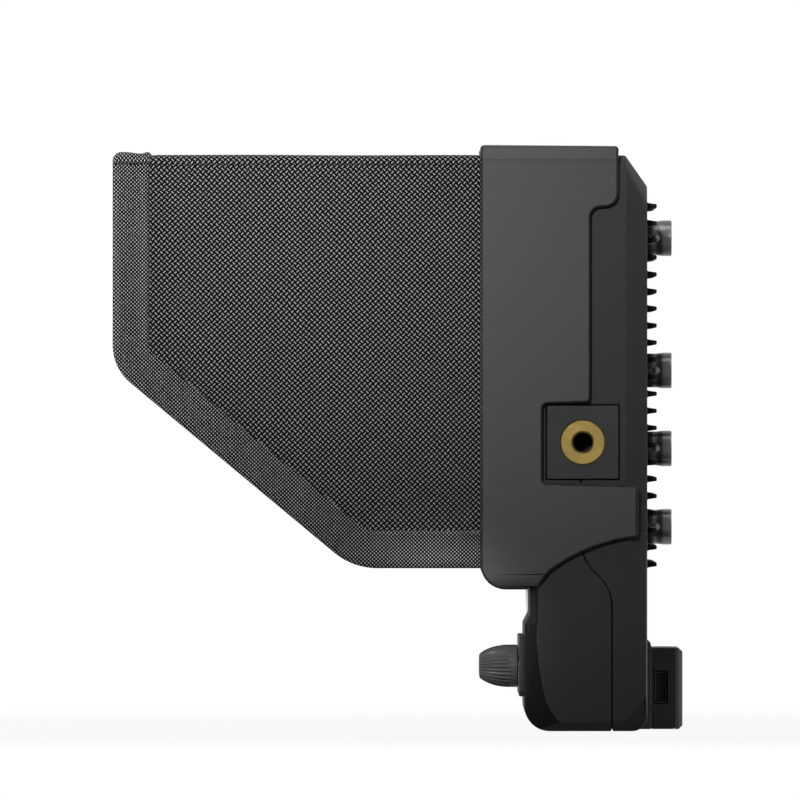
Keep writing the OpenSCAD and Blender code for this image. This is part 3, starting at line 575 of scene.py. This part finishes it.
def frame_bead(form):
    """The top of the frame's sides stands a little proud, above a shallow step."""
    for vert in form.verts:
        if abs(vert.co.x) > (FRAME_SIDE_X - 0.3) * MM and vert.co.z > STEP_Z * MM:
            vert.co.x += math.copysign(STEP_OUT * MM, vert.co.x)


MIDDLE = [("x", 0)]
CASE_HOLES = MIDDLE + [("x", -CASE_SCREW_X), ("x", CASE_SCREW_X)]
CONTROL_HOLES = MIDDLE + [("x", sign * x) for sign in (-1, 1) for x in KNOB_X.values()]
SINK_HOLES = CASE_HOLES + [("x", SOCKET_X), ("x", -SINK_SCREW_X), ("x", SINK_SCREW_X)]
PLATE_HOLES = MIDDLE + [("x", -PLATE_SCREW_X), ("x", POWER_X), ("x", PLATE_SCREW_X)]
FRAME_STEP = [("z", STEP_FOOT_Z), ("z", STEP_TOP_Z)]

softened("front_shell", 0.35, cuts=CASE_HOLES + CONTROL_HOLES, paint=chin_plastic_and_shade)
softened("rear_shell", 0.35, cuts=CASE_HOLES + [("x", POWER_X)])
softened("hood_frame", 0.68, segments=4, cuts=MIDDLE + FRAME_STEP, shape=frame_bead)
softened("heat_sink", 0.15, cuts=SINK_HOLES)
softened("side_block_right", 0.35, cuts=[("z", INSERT_CENTRE[1])])
softened("side_block_left", 0.35, cuts=[("z", INSERT_CENTRE[1])])
softened("connector_housing", 0.25, cuts=PLATE_HOLES + [("z", PORT_Z)])
softened("connector_plate", 0.18, cuts=PLATE_HOLES)
softened("control_fascia", 0.25, cuts=CONTROL_HOLES)
softened("service_port", 0.12, cuts=[("z", PORT_Z)])
softened("power_socket", 0.2, cuts=[("x", POWER_X)])
softened("case_screws", 0.12, cuts=CASE_HOLES)
softened("screen_glass", 0.4)


# ---------- Knobs ----------

KNOB_R = 5.57
KNOB_BACK_Y = -19.1
FLUTES = 30
FLUTE_DEPTH = 0.34
FLUTE_FOOT = 2.1
FLUTE_TIP_R = 2.2


def knob(name):
    """A knob drawn in to a blunt tip, with flutes from the tip back to a plain collar."""
    outline = [(3.05, 6.2), (3.05, 0), (5.2, 0), (KNOB_R, 0.3), (KNOB_R, 1.2)]
    outline += [(KNOB_R, 2.0 + 0.25 * i) for i in range(1, 5)]
    for i in range(1, 17):
        height = 3.0 + 7.3 * i / 16
        outline.append((KNOB_R * math.sqrt(1 - max(0, (height - 2.4) / 9.5) ** 2), height))
    outline += [(2.6, 10.42), (1.2, 10.5), (0, 10.5)]
    form = lathe(outline, FLUTES * 6)
    for vert in form.verts:
        radius = math.hypot(vert.co.x, vert.co.y)
        if radius < FLUTE_TIP_R or vert.co.z < FLUTE_FOOT:
            continue
        turn = math.atan2(vert.co.y, vert.co.x)
        groove = 0.5 - 0.5 * math.cos(turn * FLUTES)
        start = min(1, (vert.co.z - FLUTE_FOOT) / 0.7)
        tip = min(1, max(0, (radius - FLUTE_TIP_R) / 1.2))
        cut = FLUTE_DEPTH * groove ** 1.5 * math.sqrt(start) * tip
        vert.co.x *= 1 - cut / radius
        vert.co.y *= 1 - cut / radius
    bmesh.ops.transform(
        form, matrix=facing((0, -1, 0), (KNOB_X[name], KNOB_BACK_Y, CONTROL_Z)),
        verts=form.verts)
    piece(f"{name}_fluted_knob", form, "knob_black", f"{name}_control", [f"{name}_knob"], 50)


for control in KNOB_X:
    knob(control)


# ---------- Video sockets ----------

LUG_OUT = 4.85
LUG_Y = 18.6


def video_socket(number, z):
    """Bayonet socket: threaded body, neck, flared mouth and two lugs."""
    thread = []
    for i in range(12):
        thread += [(4.78, 9.7 + 0.3 * i), (4.5, 9.85 + 0.3 * i)]
    outline = [(0, 9.72), (4.5, 9.7)] + thread + [
        (4.58, 13.4), (4.58, 18.2), (4.61, 18.8), (4.66, 19.2), (4.74, 19.7), (4.8, 20.1),
        (4.83, 20.6), (4.83, 22.55), (4.62, 22.8), (4.0, 22.8), (3.7, 22.45), (3.7, 12.2), (0, 12.2)]
    form = lathe(outline, 56, (0, 1, 0), (SOCKET_X, 0, z))
    for side in (-1, 1):
        lug = bmesh.new()
        bmesh.ops.create_cone(
            lug, cap_ends=True, segments=20, radius1=1, radius2=1, depth=1.4)
        rim = [e for e in lug.edges if all(v.co.z > 0 for v in e.verts) and e.calc_face_angle(0) > 1]
        bmesh.ops.bevel(
            lug, geom=rim, offset=0.2, segments=2, affect="EDGES", profile=0.5, material=-1)
        place = facing((side, 0, 0), (SOCKET_X + side * LUG_OUT, LUG_Y, z))
        bmesh.ops.transform(lug, matrix=place, verts=lug.verts)
        absorb(form, lug)
    base = bmesh.ops.create_cube(form, size=1)["verts"]
    bmesh.ops.scale(form, verts=base, vec=(12, 11.1, 12))
    bmesh.ops.translate(form, verts=base, vec=(SOCKET_X, 4.15, z))
    piece(f"video_socket_{number}", form, "connector_nickel", "monitor", [f"bnc_jack_{number}"])


for number, z in enumerate(SOCKET_Z, 1):
    video_socket(number, z)


# ---------- Brass inserts ----------

THREAD_PITCH = 1.27


def brass_insert(side):
    """A turned insert with a quarter-inch thread of 20 turns to the inch inside."""
    sign = 1 if side == "right" else -1
    outline = [
        (3.0, 0.35), (3.35, 0), (5.7, 0), (6.0, 0.3), (6.0, 9.0), (5.72, 9.3), (3.12, 9.3),
        (3.0, 9.18), (3.0, 0.35)]
    form = lathe(outline, 72)
    tooth = [(3.06, -0.5), (2.62, -0.1), (2.62, 0.1), (3.06, 0.5)]
    line = [form.verts.new((radius, 0, 0.9 + height)) for radius, height in tooth]
    edges = [form.edges.new(pair) for pair in zip(line, line[1:] + line[:1])]
    turns, steps = 6, 36
    bmesh.ops.spin(
        form, geom=line + edges, cent=(0, 0, 0), axis=(0, 0, 1), angle=math.tau * turns,
        steps=steps * turns, dvec=(0, 0, THREAD_PITCH / steps), use_duplicate=False)
    bmesh.ops.holes_fill(form, edges=[e for e in form.edges if e.is_boundary], sides=4)
    bmesh.ops.recalc_face_normals(form, faces=form.faces)
    place = facing((sign, 0, 0), (sign * INSERT_END_X, *INSERT_CENTRE))
    bmesh.ops.transform(form, matrix=place, verts=form.verts)
    piece(f"brass_insert_{side}", form, "insert_brass", "monitor", [f"side_insert_{side}"], 40)


brass_insert("right")
brass_insert("left")


# ---------- Screws of the cover plate ----------

SCREW_HEAD_R = 2.0
SCREW_HEAD_H = 1.1
HEXAGON_R = 1.1


def corners_of(geometry):
    return [part for part in geometry if isinstance(part, bmesh.types.BMVert)]


def screw_head():
    """A round head with a chamfered rim and a hexagon socket, standing on z = 0."""
    head = bmesh.new()
    outer = bmesh.ops.create_circle(head, segments=30, radius=SCREW_HEAD_R)["verts"]
    inner = bmesh.ops.create_circle(head, segments=6, radius=HEXAGON_R)["verts"]
    bmesh.ops.bridge_loops(head, edges=head.edges[:])
    bmesh.ops.translate(head, verts=head.verts, vec=(0, 0, SCREW_HEAD_H))
    rim = [e for e in head.edges if all(v in outer for v in e.verts)]
    chamfer = bmesh.ops.extrude_edge_only(head, edges=rim)["geom"]
    for vert in corners_of(chamfer):
        vert.co = (vert.co.x * 1.125, vert.co.y * 1.125, 0.85)
    foot = [e for e in chamfer if isinstance(e, bmesh.types.BMEdge)]
    skirt = bmesh.ops.extrude_edge_only(head, edges=foot)["geom"]
    bmesh.ops.translate(head, verts=corners_of(skirt), vec=(0, 0, -0.85))
    well = [e for e in head.edges if all(v in inner for v in e.verts)]
    bottom = corners_of(bmesh.ops.extrude_edge_only(head, edges=well)["geom"])
    bmesh.ops.translate(head, verts=bottom, vec=(0, 0, -0.8))
    bmesh.ops.contextual_create(head, geom=bottom)
    bmesh.ops.holes_fill(head, edges=[e for e in head.edges if e.is_boundary], sides=40)
    bmesh.ops.recalc_face_normals(head, faces=head.faces)
    return head


def plate_screws():
    form = bmesh.new()
    for x in (-PLATE_SCREW_X, PLATE_SCREW_X):
        for z in PLATE_SCREW_Z:
            head = screw_head()
            place = facing((0, 1, 0), (x, PLATE_SCREW_Y, z))
            bmesh.ops.transform(head, matrix=place, verts=head.verts)
            absorb(form, head)
    piece("plate_screw_heads", form, "screw_black", "monitor", ["plate_screws"], 30)


plate_screws()


# ---------- Hood cloth ----------

def spread(across, along, place, cloth):
    """A cloth grid in millimetres: place(u, v) and cloth(u, v) give each point and its weave
    coordinates, for u and v from 0 to 1."""
    form = bmesh.new()
    bmesh.ops.create_grid(form, x_segments=across, y_segments=along, size=0.5)
    weave = form.loops.layers.uv.new("cloth")
    spots = {}
    for vert in form.verts:
        u, v = vert.co.x + 0.5, vert.co.y + 0.5
        spots[vert] = [c * MM for c in cloth(u, v)]
        vert.co = place(u, v)
    for face in form.faces:
        for loop in face.loops:
            loop[weave].uv = spots[loop.vert]
    return form


def corner(before, at, after, radius, steps=10):
    """Points of a round corner in the Y-Z plane."""
    a, b, c = Vector(before), Vector(at), Vector(after)
    u, v = (a - b).normalized(), (c - b).normalized()
    half = u.angle(v) / 2
    centre = b + (u + v).normalized() * radius / math.sin(half)
    first = b + u * radius / math.tan(half) - centre
    last = b + v * radius / math.tan(half) - centre
    way = first.angle_signed(last)
    return [centre + Matrix.Rotation(-way * i / steps, 2) @ first for i in range(steps + 1)]


def between(a, b, count):
    return [a.lerp(b, i / count) for i in range(count)]


def free_edge(hinge_y, inset):
    """The side flap's free edges, from the top of the front down and back to the hinge,
    moved in by inset. The same number of points comes back for every inset."""
    front, bottom = HOOD_FRONT_Y + inset, FLAP_BOTTOM_Z + inset
    slope = math.atan2(SLANT_Z - FLAP_BOTTOM_Z, SLANT_Y - HOOD_FRONT_Y)
    corner_z = SLANT_Z - inset * math.tan(slope) + inset / math.cos(slope)
    corner_y = HOOD_FRONT_Y + (SLANT_Z + inset / math.cos(slope) - bottom) / math.tan(slope)
    top, hinge = Vector((front, FLAP_TOP_Z)), Vector((hinge_y, bottom))
    p, q = Vector((front, corner_z)), Vector((corner_y, bottom))
    upper = corner(top, p, q, 13 - inset)
    lower = corner(p, q, hinge, 18 - inset)
    return (between(top, upper[0], 46) + upper + between(upper[-1], lower[0], 66)[1:]
            + lower + between(lower[-1], hinge, 36)[1:] + [hinge])


def hem_rise(inset):
    """How far the hem stands proud of the cloth at a distance in from the free edge: a rolled
    edge, a shallow dip and a ridge along the seam."""
    roll = math.exp(-((inset - 2.2) / 2.2) ** 2)
    ridge = math.exp(-((inset - 9.0) / 0.75) ** 2)
    return 0.26 + 0.34 * roll + 0.36 * ridge


def hem_section():
    """(inset, x) points round the hem, from the lining's side over the free edge to the seam."""
    half = (FLAP_OUT_X + 0.3 - FLAP_IN_X) / 2
    inner = [(inset, FLAP_IN_X + 0.02) for inset in (10, 8, 6, 4, 2.6, 1.8)]
    turn = []
    for i in range(1, 12):
        angle = math.pi * i / 12
        turn.append((1.3 - 1.3 * math.sin(angle), FLAP_IN_X + half - half * math.cos(angle)))
    outer = [
        (inset, FLAP_OUT_X + hem_rise(inset))
        for inset in (1.6, 2.2, 3, 4, 5, 6, 7, 7.8, 8.3, 8.7, 9.0, 9.3, 9.55)]
    return inner + turn + outer + [(9.8, FLAP_OUT_X + 0.3), (9.95, FLAP_OUT_X - 0.05)]


def pucker(distance):
    """Slight gathers along a seam, at a distance along it."""
    return 0.5 * math.sin(distance * 2.05) + 0.5 * math.sin(distance * 1.31 + 1.7)


def side_hem(side):
    sign = 1 if side == "right" else -1
    section = hem_section()
    rows = [free_edge(HINGE_Y[side], inset) for inset, x in section]
    run = lengths(rows[0])
    count, last = len(section) - 1, len(run) - 1

    def place(u, v):
        i, k = round(u * last), round(v * count)
        inset, x = section[k]
        point = rows[k][i]
        ease = 0.07 * pucker(run[i]) * math.exp(-((inset - 9.2) / 1.6) ** 2)
        ease += 0.05 * math.sin(run[i] * 0.35) if x > FLAP_OUT_X else 0
        return Vector((sign * (x + ease), point.x, point.y))

    def cloth(u, v):
        i, k = round(u * last), round(v * count)
        inset, x = section[k]
        wrap = 0 if x > FLAP_OUT_X - 1 else -2.4 - 2 * inset
        point = rows[k][i]
        return point.x + wrap, point.y

    form = spread(last, count, place, cloth)
    thicken(form, (sign, 0, 0), 0.35)
    return piece(f"{side}_flap_binding", form, "hood_hem", f"{side}_flap", [f"{side}_flap_hem"], 60)


def thicken(form, outward, depth):
    """Turns the outermost face of an open sheet to point outward, and gives the sheet depth on
    its other side."""
    way = Vector(outward)
    bmesh.ops.recalc_face_normals(form, faces=form.faces)
    probe = max(form.faces, key=lambda face: face.calc_center_median().dot(way))
    if probe.normal.dot(way) < 0:
        bmesh.ops.reverse_faces(form, faces=form.faces)
    form.normal_update()
    inward = form.verts.layers.float_vector.new("inward")
    for vert in form.verts:
        vert[inward] = -depth * vert.normal
    made = bmesh.ops.extrude_face_region(form, geom=form.faces[:], use_keep_orig=True)
    for vert in made["geom"]:
        if isinstance(vert, bmesh.types.BMVert):
            vert.co += vert[inward]
    bmesh.ops.recalc_face_normals(form, faces=form.faces)


def side_cloth(side, outer):
    """A side flap's cloth, trimmed to the seam and drawn in beside it."""
    sign = 1 if side == "right" else -1
    hinge_y = HINGE_Y[side]
    inset = HEM_W - 1.2 if outer else HEM_W + 0.02
    seam = free_edge(hinge_y, HEM_W)
    edge = free_edge(hinge_y, inset)
    form = bmesh.new()
    bmesh.ops.create_grid(form, x_segments=90, y_segments=96, size=0.5)
    for vert in form.verts:
        y = HOOD_FRONT_Y + (vert.co.x + 0.5) * (hinge_y - HOOD_FRONT_Y)
        z = FLAP_BOTTOM_Z + (vert.co.y + 0.5) * (FLAP_TOP_Z - FLAP_BOTTOM_Z)
        vert.co = (FLAP_OUT_X if outer else FLAP_IN_X, y, z)
    for a, b in zip(edge, edge[1:]):
        if (b - a).length < 1e-4:
            continue
        along = (b - a).normalized()
        bmesh.ops.bisect_plane(
            form, geom=form.verts[:] + form.edges[:] + form.faces[:], dist=1e-4,
            plane_co=(0, a.x, a.y), plane_no=(0, along.y, -along.x))
    inside = inside_of(edge)
    gone = [f for f in form.faces if not inside(f.calc_center_median())]
    bmesh.ops.delete(form, geom=gone, context="FACES")
    bmesh.ops.remove_doubles(form, verts=form.verts, dist=0.02)
    seam_gap = gap_to(seam)
    weave = form.loops.layers.uv.new("cloth")
    for face in form.faces:
        for loop in face.loops:
            loop[weave].uv = (loop.vert.co.y * MM, loop.vert.co.z * MM)
    for vert in form.verts:
        y, z = vert.co.y, vert.co.z
        wave = 0.05 * math.sin(0.11 * y + 0.07 * z) + 0.04 * math.sin(0.05 * y - 0.13 * z + 1)
        if outer:
            distance, run = seam_gap(y, z)
            drawn = 0.28 * math.exp(-(distance / 0.9) ** 2)
            gather = 0.06 * pucker(run) * math.exp(-(distance / 3) ** 2)
            curl = 0.2 * max(0, (z - FLAP_TOP_Z + 0.8) / 0.8) ** 2
            lift = wave + gather - drawn - curl - 0.06
        else:
            lift = 0.02 + abs(wave) * 0.3
        vert.co.x = (vert.co.x + lift) * sign
    thicken(form, (sign if outer else -sign, 0, 0), 0.4)
    name = f"{side}_flap_{'cover' if outer else 'lining'}"
    return piece(
        name, form, "hood_cloth" if outer else "hood_lining", f"{side}_flap",
        [f"{side}_flap_cloth"], 60)


def inside_of(edge):
    """Tells whether a point lies inside the flap's free edge."""
    def inside(point):
        for a, b in zip(edge, edge[1:]):
            if (b - a).length < 1e-4:
                continue
            side = (b - a).cross(Vector((point.y, point.z)) - a)
            if side < -1e-3:
                return False
        return True
    return inside


def gap_to(line):
    """Gives the distance from a point to the line, and how far along the line it is."""
    run = lengths(line)

    def gap(y, z):
        point = Vector((y, z))
        nearest, along = math.inf, 0.0
        for a, b, start in zip(line, line[1:], run):
            way = b - a
            if way.length < 1e-6:
                continue
            t = min(1, max(0, (point - a).dot(way) / way.length_squared))
            distance = (a + way * t - point).length
            if distance < nearest:
                nearest, along = distance, start + t * way.length
        return nearest, along
    return gap


# The side flaps' hems, covers and linings
for side in ("right", "left"):
    hem = side_hem(side)
    cover = side_cloth(side, True)
    lining = side_cloth(side, False)


# ---------- Top flap ----------

RIM = 2.3
RIM_Z = 151.3
TOP_HW = 81.3
TOP_HEM_Z = 154.62
# The weave runs on from the side flap's cloth over the edge, to this coordinate at the middle
WEAVE_MIDDLE = 235.04


def over_rim(x, height):
    """Height of the top cloth at x, which turns down in a round over the side flaps' edges."""
    out = max(0, abs(x) - TOP_HW) / RIM
    return RIM_Z + (height - RIM_Z) * math.sqrt(max(0, 1 - min(1, out) ** 2))


def across_top(u, half):
    """Runs from -half to half, with its steps closer together at the turned-down edges."""
    s = 2 * u - 1
    flat = 0.86
    if abs(s) <= flat:
        return s / flat * (half - RIM)
    t = (abs(s) - flat) / (1 - flat)
    return math.copysign(half - RIM + RIM * math.sin(t * math.pi / 2), s)


def top_cover():
    half = TOP_HW + RIM
    back, front = TOP_HINGE_Y, HOOD_FRONT_Y + HEM_W - 1.2

    def place(u, v):
        x = across_top(u, half)
        y = front + v * (back - front)
        seam = abs(y - (HOOD_FRONT_Y + HEM_W))
        drawn = 0.3 * math.exp(-(seam / 1.0) ** 2)
        gather = 0.05 * pucker(x) * math.exp(-(seam / 3) ** 2)
        wave = 0.05 * math.sin(0.09 * x + 0.05 * y) + 0.04 * math.sin(0.13 * y + 0.6)
        return Vector((x, y, over_rim(x, TOP_Z + 0.12 + wave + gather - drawn)))

    def cloth(u, v):
        x = across_top(u, half)
        out = max(0, abs(x) - TOP_HW)
        down = RIM * math.asin(min(1, out / RIM))
        return front + v * (back - front), (
            WEAVE_MIDDLE - math.copysign(min(abs(x), TOP_HW) + down, x))

    form = spread(150, 84, place, cloth)
    thicken(form, (0, 0, 1), 0.35)
    return piece("top_flap_cover", form, "hood_cloth", "top_flap", ["top_flap_cloth"], 60)


def top_hem_section():
    """(y, z) points round the front hem, from under its seam over the front edge to the seam."""
    front = HOOD_FRONT_Y
    under = [(front + inset, TOP_UNDER_Z + 0.02) for inset in (10, 7, 4, 1.8, 1.0)]
    turn = [
        (front + 0.45, TOP_UNDER_Z + 0.12), (front + 0.12, TOP_UNDER_Z + 0.45),
        (front, TOP_UNDER_Z + 0.9)]
    for i in range(1, 9):
        angle = math.pi / 2 * i / 8
        turn.append((front + RIM - RIM * math.cos(angle), TOP_HEM_Z - RIM + RIM * math.sin(angle)))
    outer = []
    for inset in (3.2, 4, 5, 6, 7, 7.7, 8.2, 8.6, 9.0, 9.35, 9.6):
        dip = 0.42 * math.exp(-((inset - 7.2) / 2.0) ** 2)
        outer.append((front + inset, TOP_HEM_Z - dip + (0.1 if inset > 8.3 else 0)))
    return under + turn + outer + [(front + 9.85, 153.95), (front + 9.97, 153.6)]


def top_hem():
    section = top_hem_section()
    last, count = 170, len(section) - 1
    half = FLAP_OUT_X + 0.42
    run = lengths(section)

    def place(u, v):
        x = across_top(u, half)
        y, z = section[round(v * count)]
        out = min(1, max(0, abs(x) - (half - RIM)) / RIM)
        fall = math.sqrt(max(0, 1 - out ** 2))
        z = RIM_Z + (z - RIM_Z) * fall if z > 151.8 else z - 0.2 * (1 - fall)
        near = math.exp(-((y - HOOD_FRONT_Y - 9.0) / 1.5) ** 2) if z > 153 else 0
        return Vector((x, y, z + 0.07 * near * pucker(x)))

    def cloth(u, v):
        x = across_top(u, half)
        out = min(RIM, max(0, abs(x) - (half - RIM)))
        down = RIM * math.asin(min(1, out / RIM))
        k = round(v * count)
        return HOOD_FRONT_Y + 10 + run[k] - run[-1], (
            WEAVE_MIDDLE - math.copysign(min(abs(x), half - RIM) + down, x))

    form = spread(last, count, place, cloth)
    thicken(form, (0, 0, 1), 0.35)
    return piece("top_flap_binding", form, "hood_hem", "top_flap", ["top_flap_hem"], 60)


def top_lining():
    front, back = HOOD_FRONT_Y + HEM_W, TOP_HINGE_Y

    def place(u, v):
        x = (2 * u - 1) * (TOP_HW - 0.1)
        y = front + 0.02 + v * (back - front)
        return Vector((x, y, TOP_UNDER_Z + 0.02 + 0.02 * math.sin(0.1 * x + 0.07 * y)))

    def cloth(u, v):
        return front + v * (back - front), (2 * u - 1) * TOP_HW

    form = spread(60, 40, place, cloth)
    thicken(form, (0, 0, -1), 0.35)
    return piece("top_flap_lining", form, "hood_lining", "top_flap", ["top_flap_cloth"], 60)


cover, hem, lining = top_cover(), top_hem(), top_lining()
for cloth_piece in (cover, hem):
    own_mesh(cloth_piece)


# ---------- Fabric hinges ----------

def hinge_strip(name, path, ends, along):
    """A cloth strip that follows path, points across the hinge line, from one end of the hinge
    to the other. It bends where the flap folds."""
    count = len(path) - 1
    run = lengths(path)

    def place(u, v):
        a, b = path[round(v * count)]
        c = ends[0] + u * (ends[1] - ends[0])
        return Vector((a, b, c)) if along == "Z" else Vector((c, a, b))

    def cloth(u, v):
        return run[round(v * count)], ends[0] + u * (ends[1] - ends[0])

    form = spread(40, count, place, cloth)
    thicken(form, (-1, 0, 0) if along == "Z" else (0, 0, -1), 0.12)
    strip = piece(name, form, "hood_lining", None, ["hinge_tapes"], 60)
    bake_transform(strip)


hinge_strip(
    "right_fabric_hinge",
    [(78.4, -21.55), (79.4, -21.55), (80.4, -21.55), (81.0, -21.6), (81.3, -21.75),
     (81.42, -22.0), (81.45, -22.4), (81.45, -23.5), (81.45, -25), (81.45, -27), (81.45, -29.5)],
    (55, 150), "Z")
hinge_strip(
    "left_fabric_hinge",
    [(-82.0, -21.6), (-82.0, -22.6), (-82.0, -23.6), (-81.95, -24.4), (-81.7, -24.75),
     (-81.5, -24.95), (-81.45, -25.4), (-81.45, -27), (-81.45, -29), (-81.45, -32.4)],
    (55, 150), "Z")
hinge_strip(
    "top_fabric_hinge",
    [(-21.6, 151.7), (-23.5, 151.7), (-25.5, 151.7), (-27.2, 151.68), (-27.7, 151.62),
     (-28.1, 151.58), (-28.6, 151.56), (-30.5, 151.56), (-33, 151.56), (-35.4, 151.56)],
    (-79, 79), "X")


# ---------- Floor and light ----------

FLOOR_R = 9
FLOOR_GAP = 0.0002


def white_floor():
    """Pale ground that looks white to the camera and keeps a soft shadow."""
    f = Finish("floor_white")
    x, y, _ = f.place()
    away = ((x * x + y * y) ** 0.5).ramp(0.2, 0.7, 0.93, 1)
    glow_share = f.seen() * away
    paint = f.add("ShaderNodeBsdfDiffuse", {}, {"Color": (0.2, 0.2, 0.2, 1)})
    glow = f.add("ShaderNodeEmission", {}, {"Color": (1, 1, 1, 1), "Strength": 1})
    both = f.add("ShaderNodeMixShader", {}, {0: glow_share, 1: paint, 2: glow})
    f.add("ShaderNodeOutputMaterial", {}, {"Surface": both})
    form = bmesh.new()
    bmesh.ops.create_circle(form, cap_ends=True, segments=96, radius=FLOOR_R)
    mesh = bpy.data.meshes.new("floor")
    form.to_mesh(mesh)
    form.free()
    mesh.materials.append(f.material)
    floor = bpy.data.objects.new("floor", mesh)
    floor.location.z = CAD_BOX[0][2] - FLOOR_GAP
    SCENE.collection.objects.link(floor)


WORLD_LEVEL = 0.03


def white_world():
    """White to the camera and in reflections, and a plain dim grey as light."""
    f = Finish("studio", world=True)
    sky = f.add(
        "ShaderNodeBackground", {},
        {"Color": (1, 1, 1, 1), "Strength": f.seen().ramp(0, 1, WORLD_LEVEL, 1)})
    f.add("ShaderNodeOutputWorld", {}, {"Surface": sky})
    SCENE.world = f.material


def aimed(data, at, aim):
    """Puts a light at a point and turns it to look at another."""
    thing = bpy.data.objects.new(data.name, data)
    thing.location = at
    thing.rotation_euler = (Vector(aim) - Vector(at)).to_track_quat("-Z", "Y").to_euler()
    thing.visible_camera = False
    SCENE.collection.objects.link(thing)


def panel_light(name, at, size, watts, aim=(0, -0.04, 0.08)):
    """A soft square light."""
    data = bpy.data.lights.new(name, "AREA")
    data.shape = "SQUARE"
    data.size = size
    data.energy = watts
    aimed(data, at, aim)


def beam(name, at, aim, reach, watts, soft=0.12):
    """A soft round beam that fades to nothing at reach metres from the point it is aimed at."""
    data = bpy.data.lights.new(name, "SPOT")
    data.spot_size = 2 * math.atan(reach / (Vector(aim) - Vector(at)).length)
    data.spot_blend = 1
    data.shadow_soft_size = soft
    data.energy = watts
    aimed(data, at, aim)


white_floor()
white_world()
beam("key_right", (1.25, -0.28, 0.52), (0.086, -0.1, 0.195), 0.185, 104)
beam("key_left", (-1.25, -0.28, 0.52), (-0.086, -0.1, 0.195), 0.19, 91)
beam("hem_light", (0.2, -1.25, 0.3), (0.083, -0.127, 0.12), 0.055, 45, 0.03)
beam("knob_light", (0.96, -0.59, 0.58), (0.064, -0.025, 0.019), 0.022, 85, 0.01)
beam("housing_light", (0.75, 0.95, 0.35), (0.031, 0.02, 0.011), 0.035, 25, 0.02)
panel_light("front_panel", (0.35, -1.25, 0.75), 0.5, 2.4)
panel_light("top_panel", (0.25, -0.2, 1.1), 0.5, 2.8)
panel_light("far_front_panel", (-0.6, -1.3, 0.6), 0.8, 6)
panel_light("back_panel", (-0.5, 1.3, 0.5), 0.8, 9)

SCENE.view_settings.view_transform = "Standard"
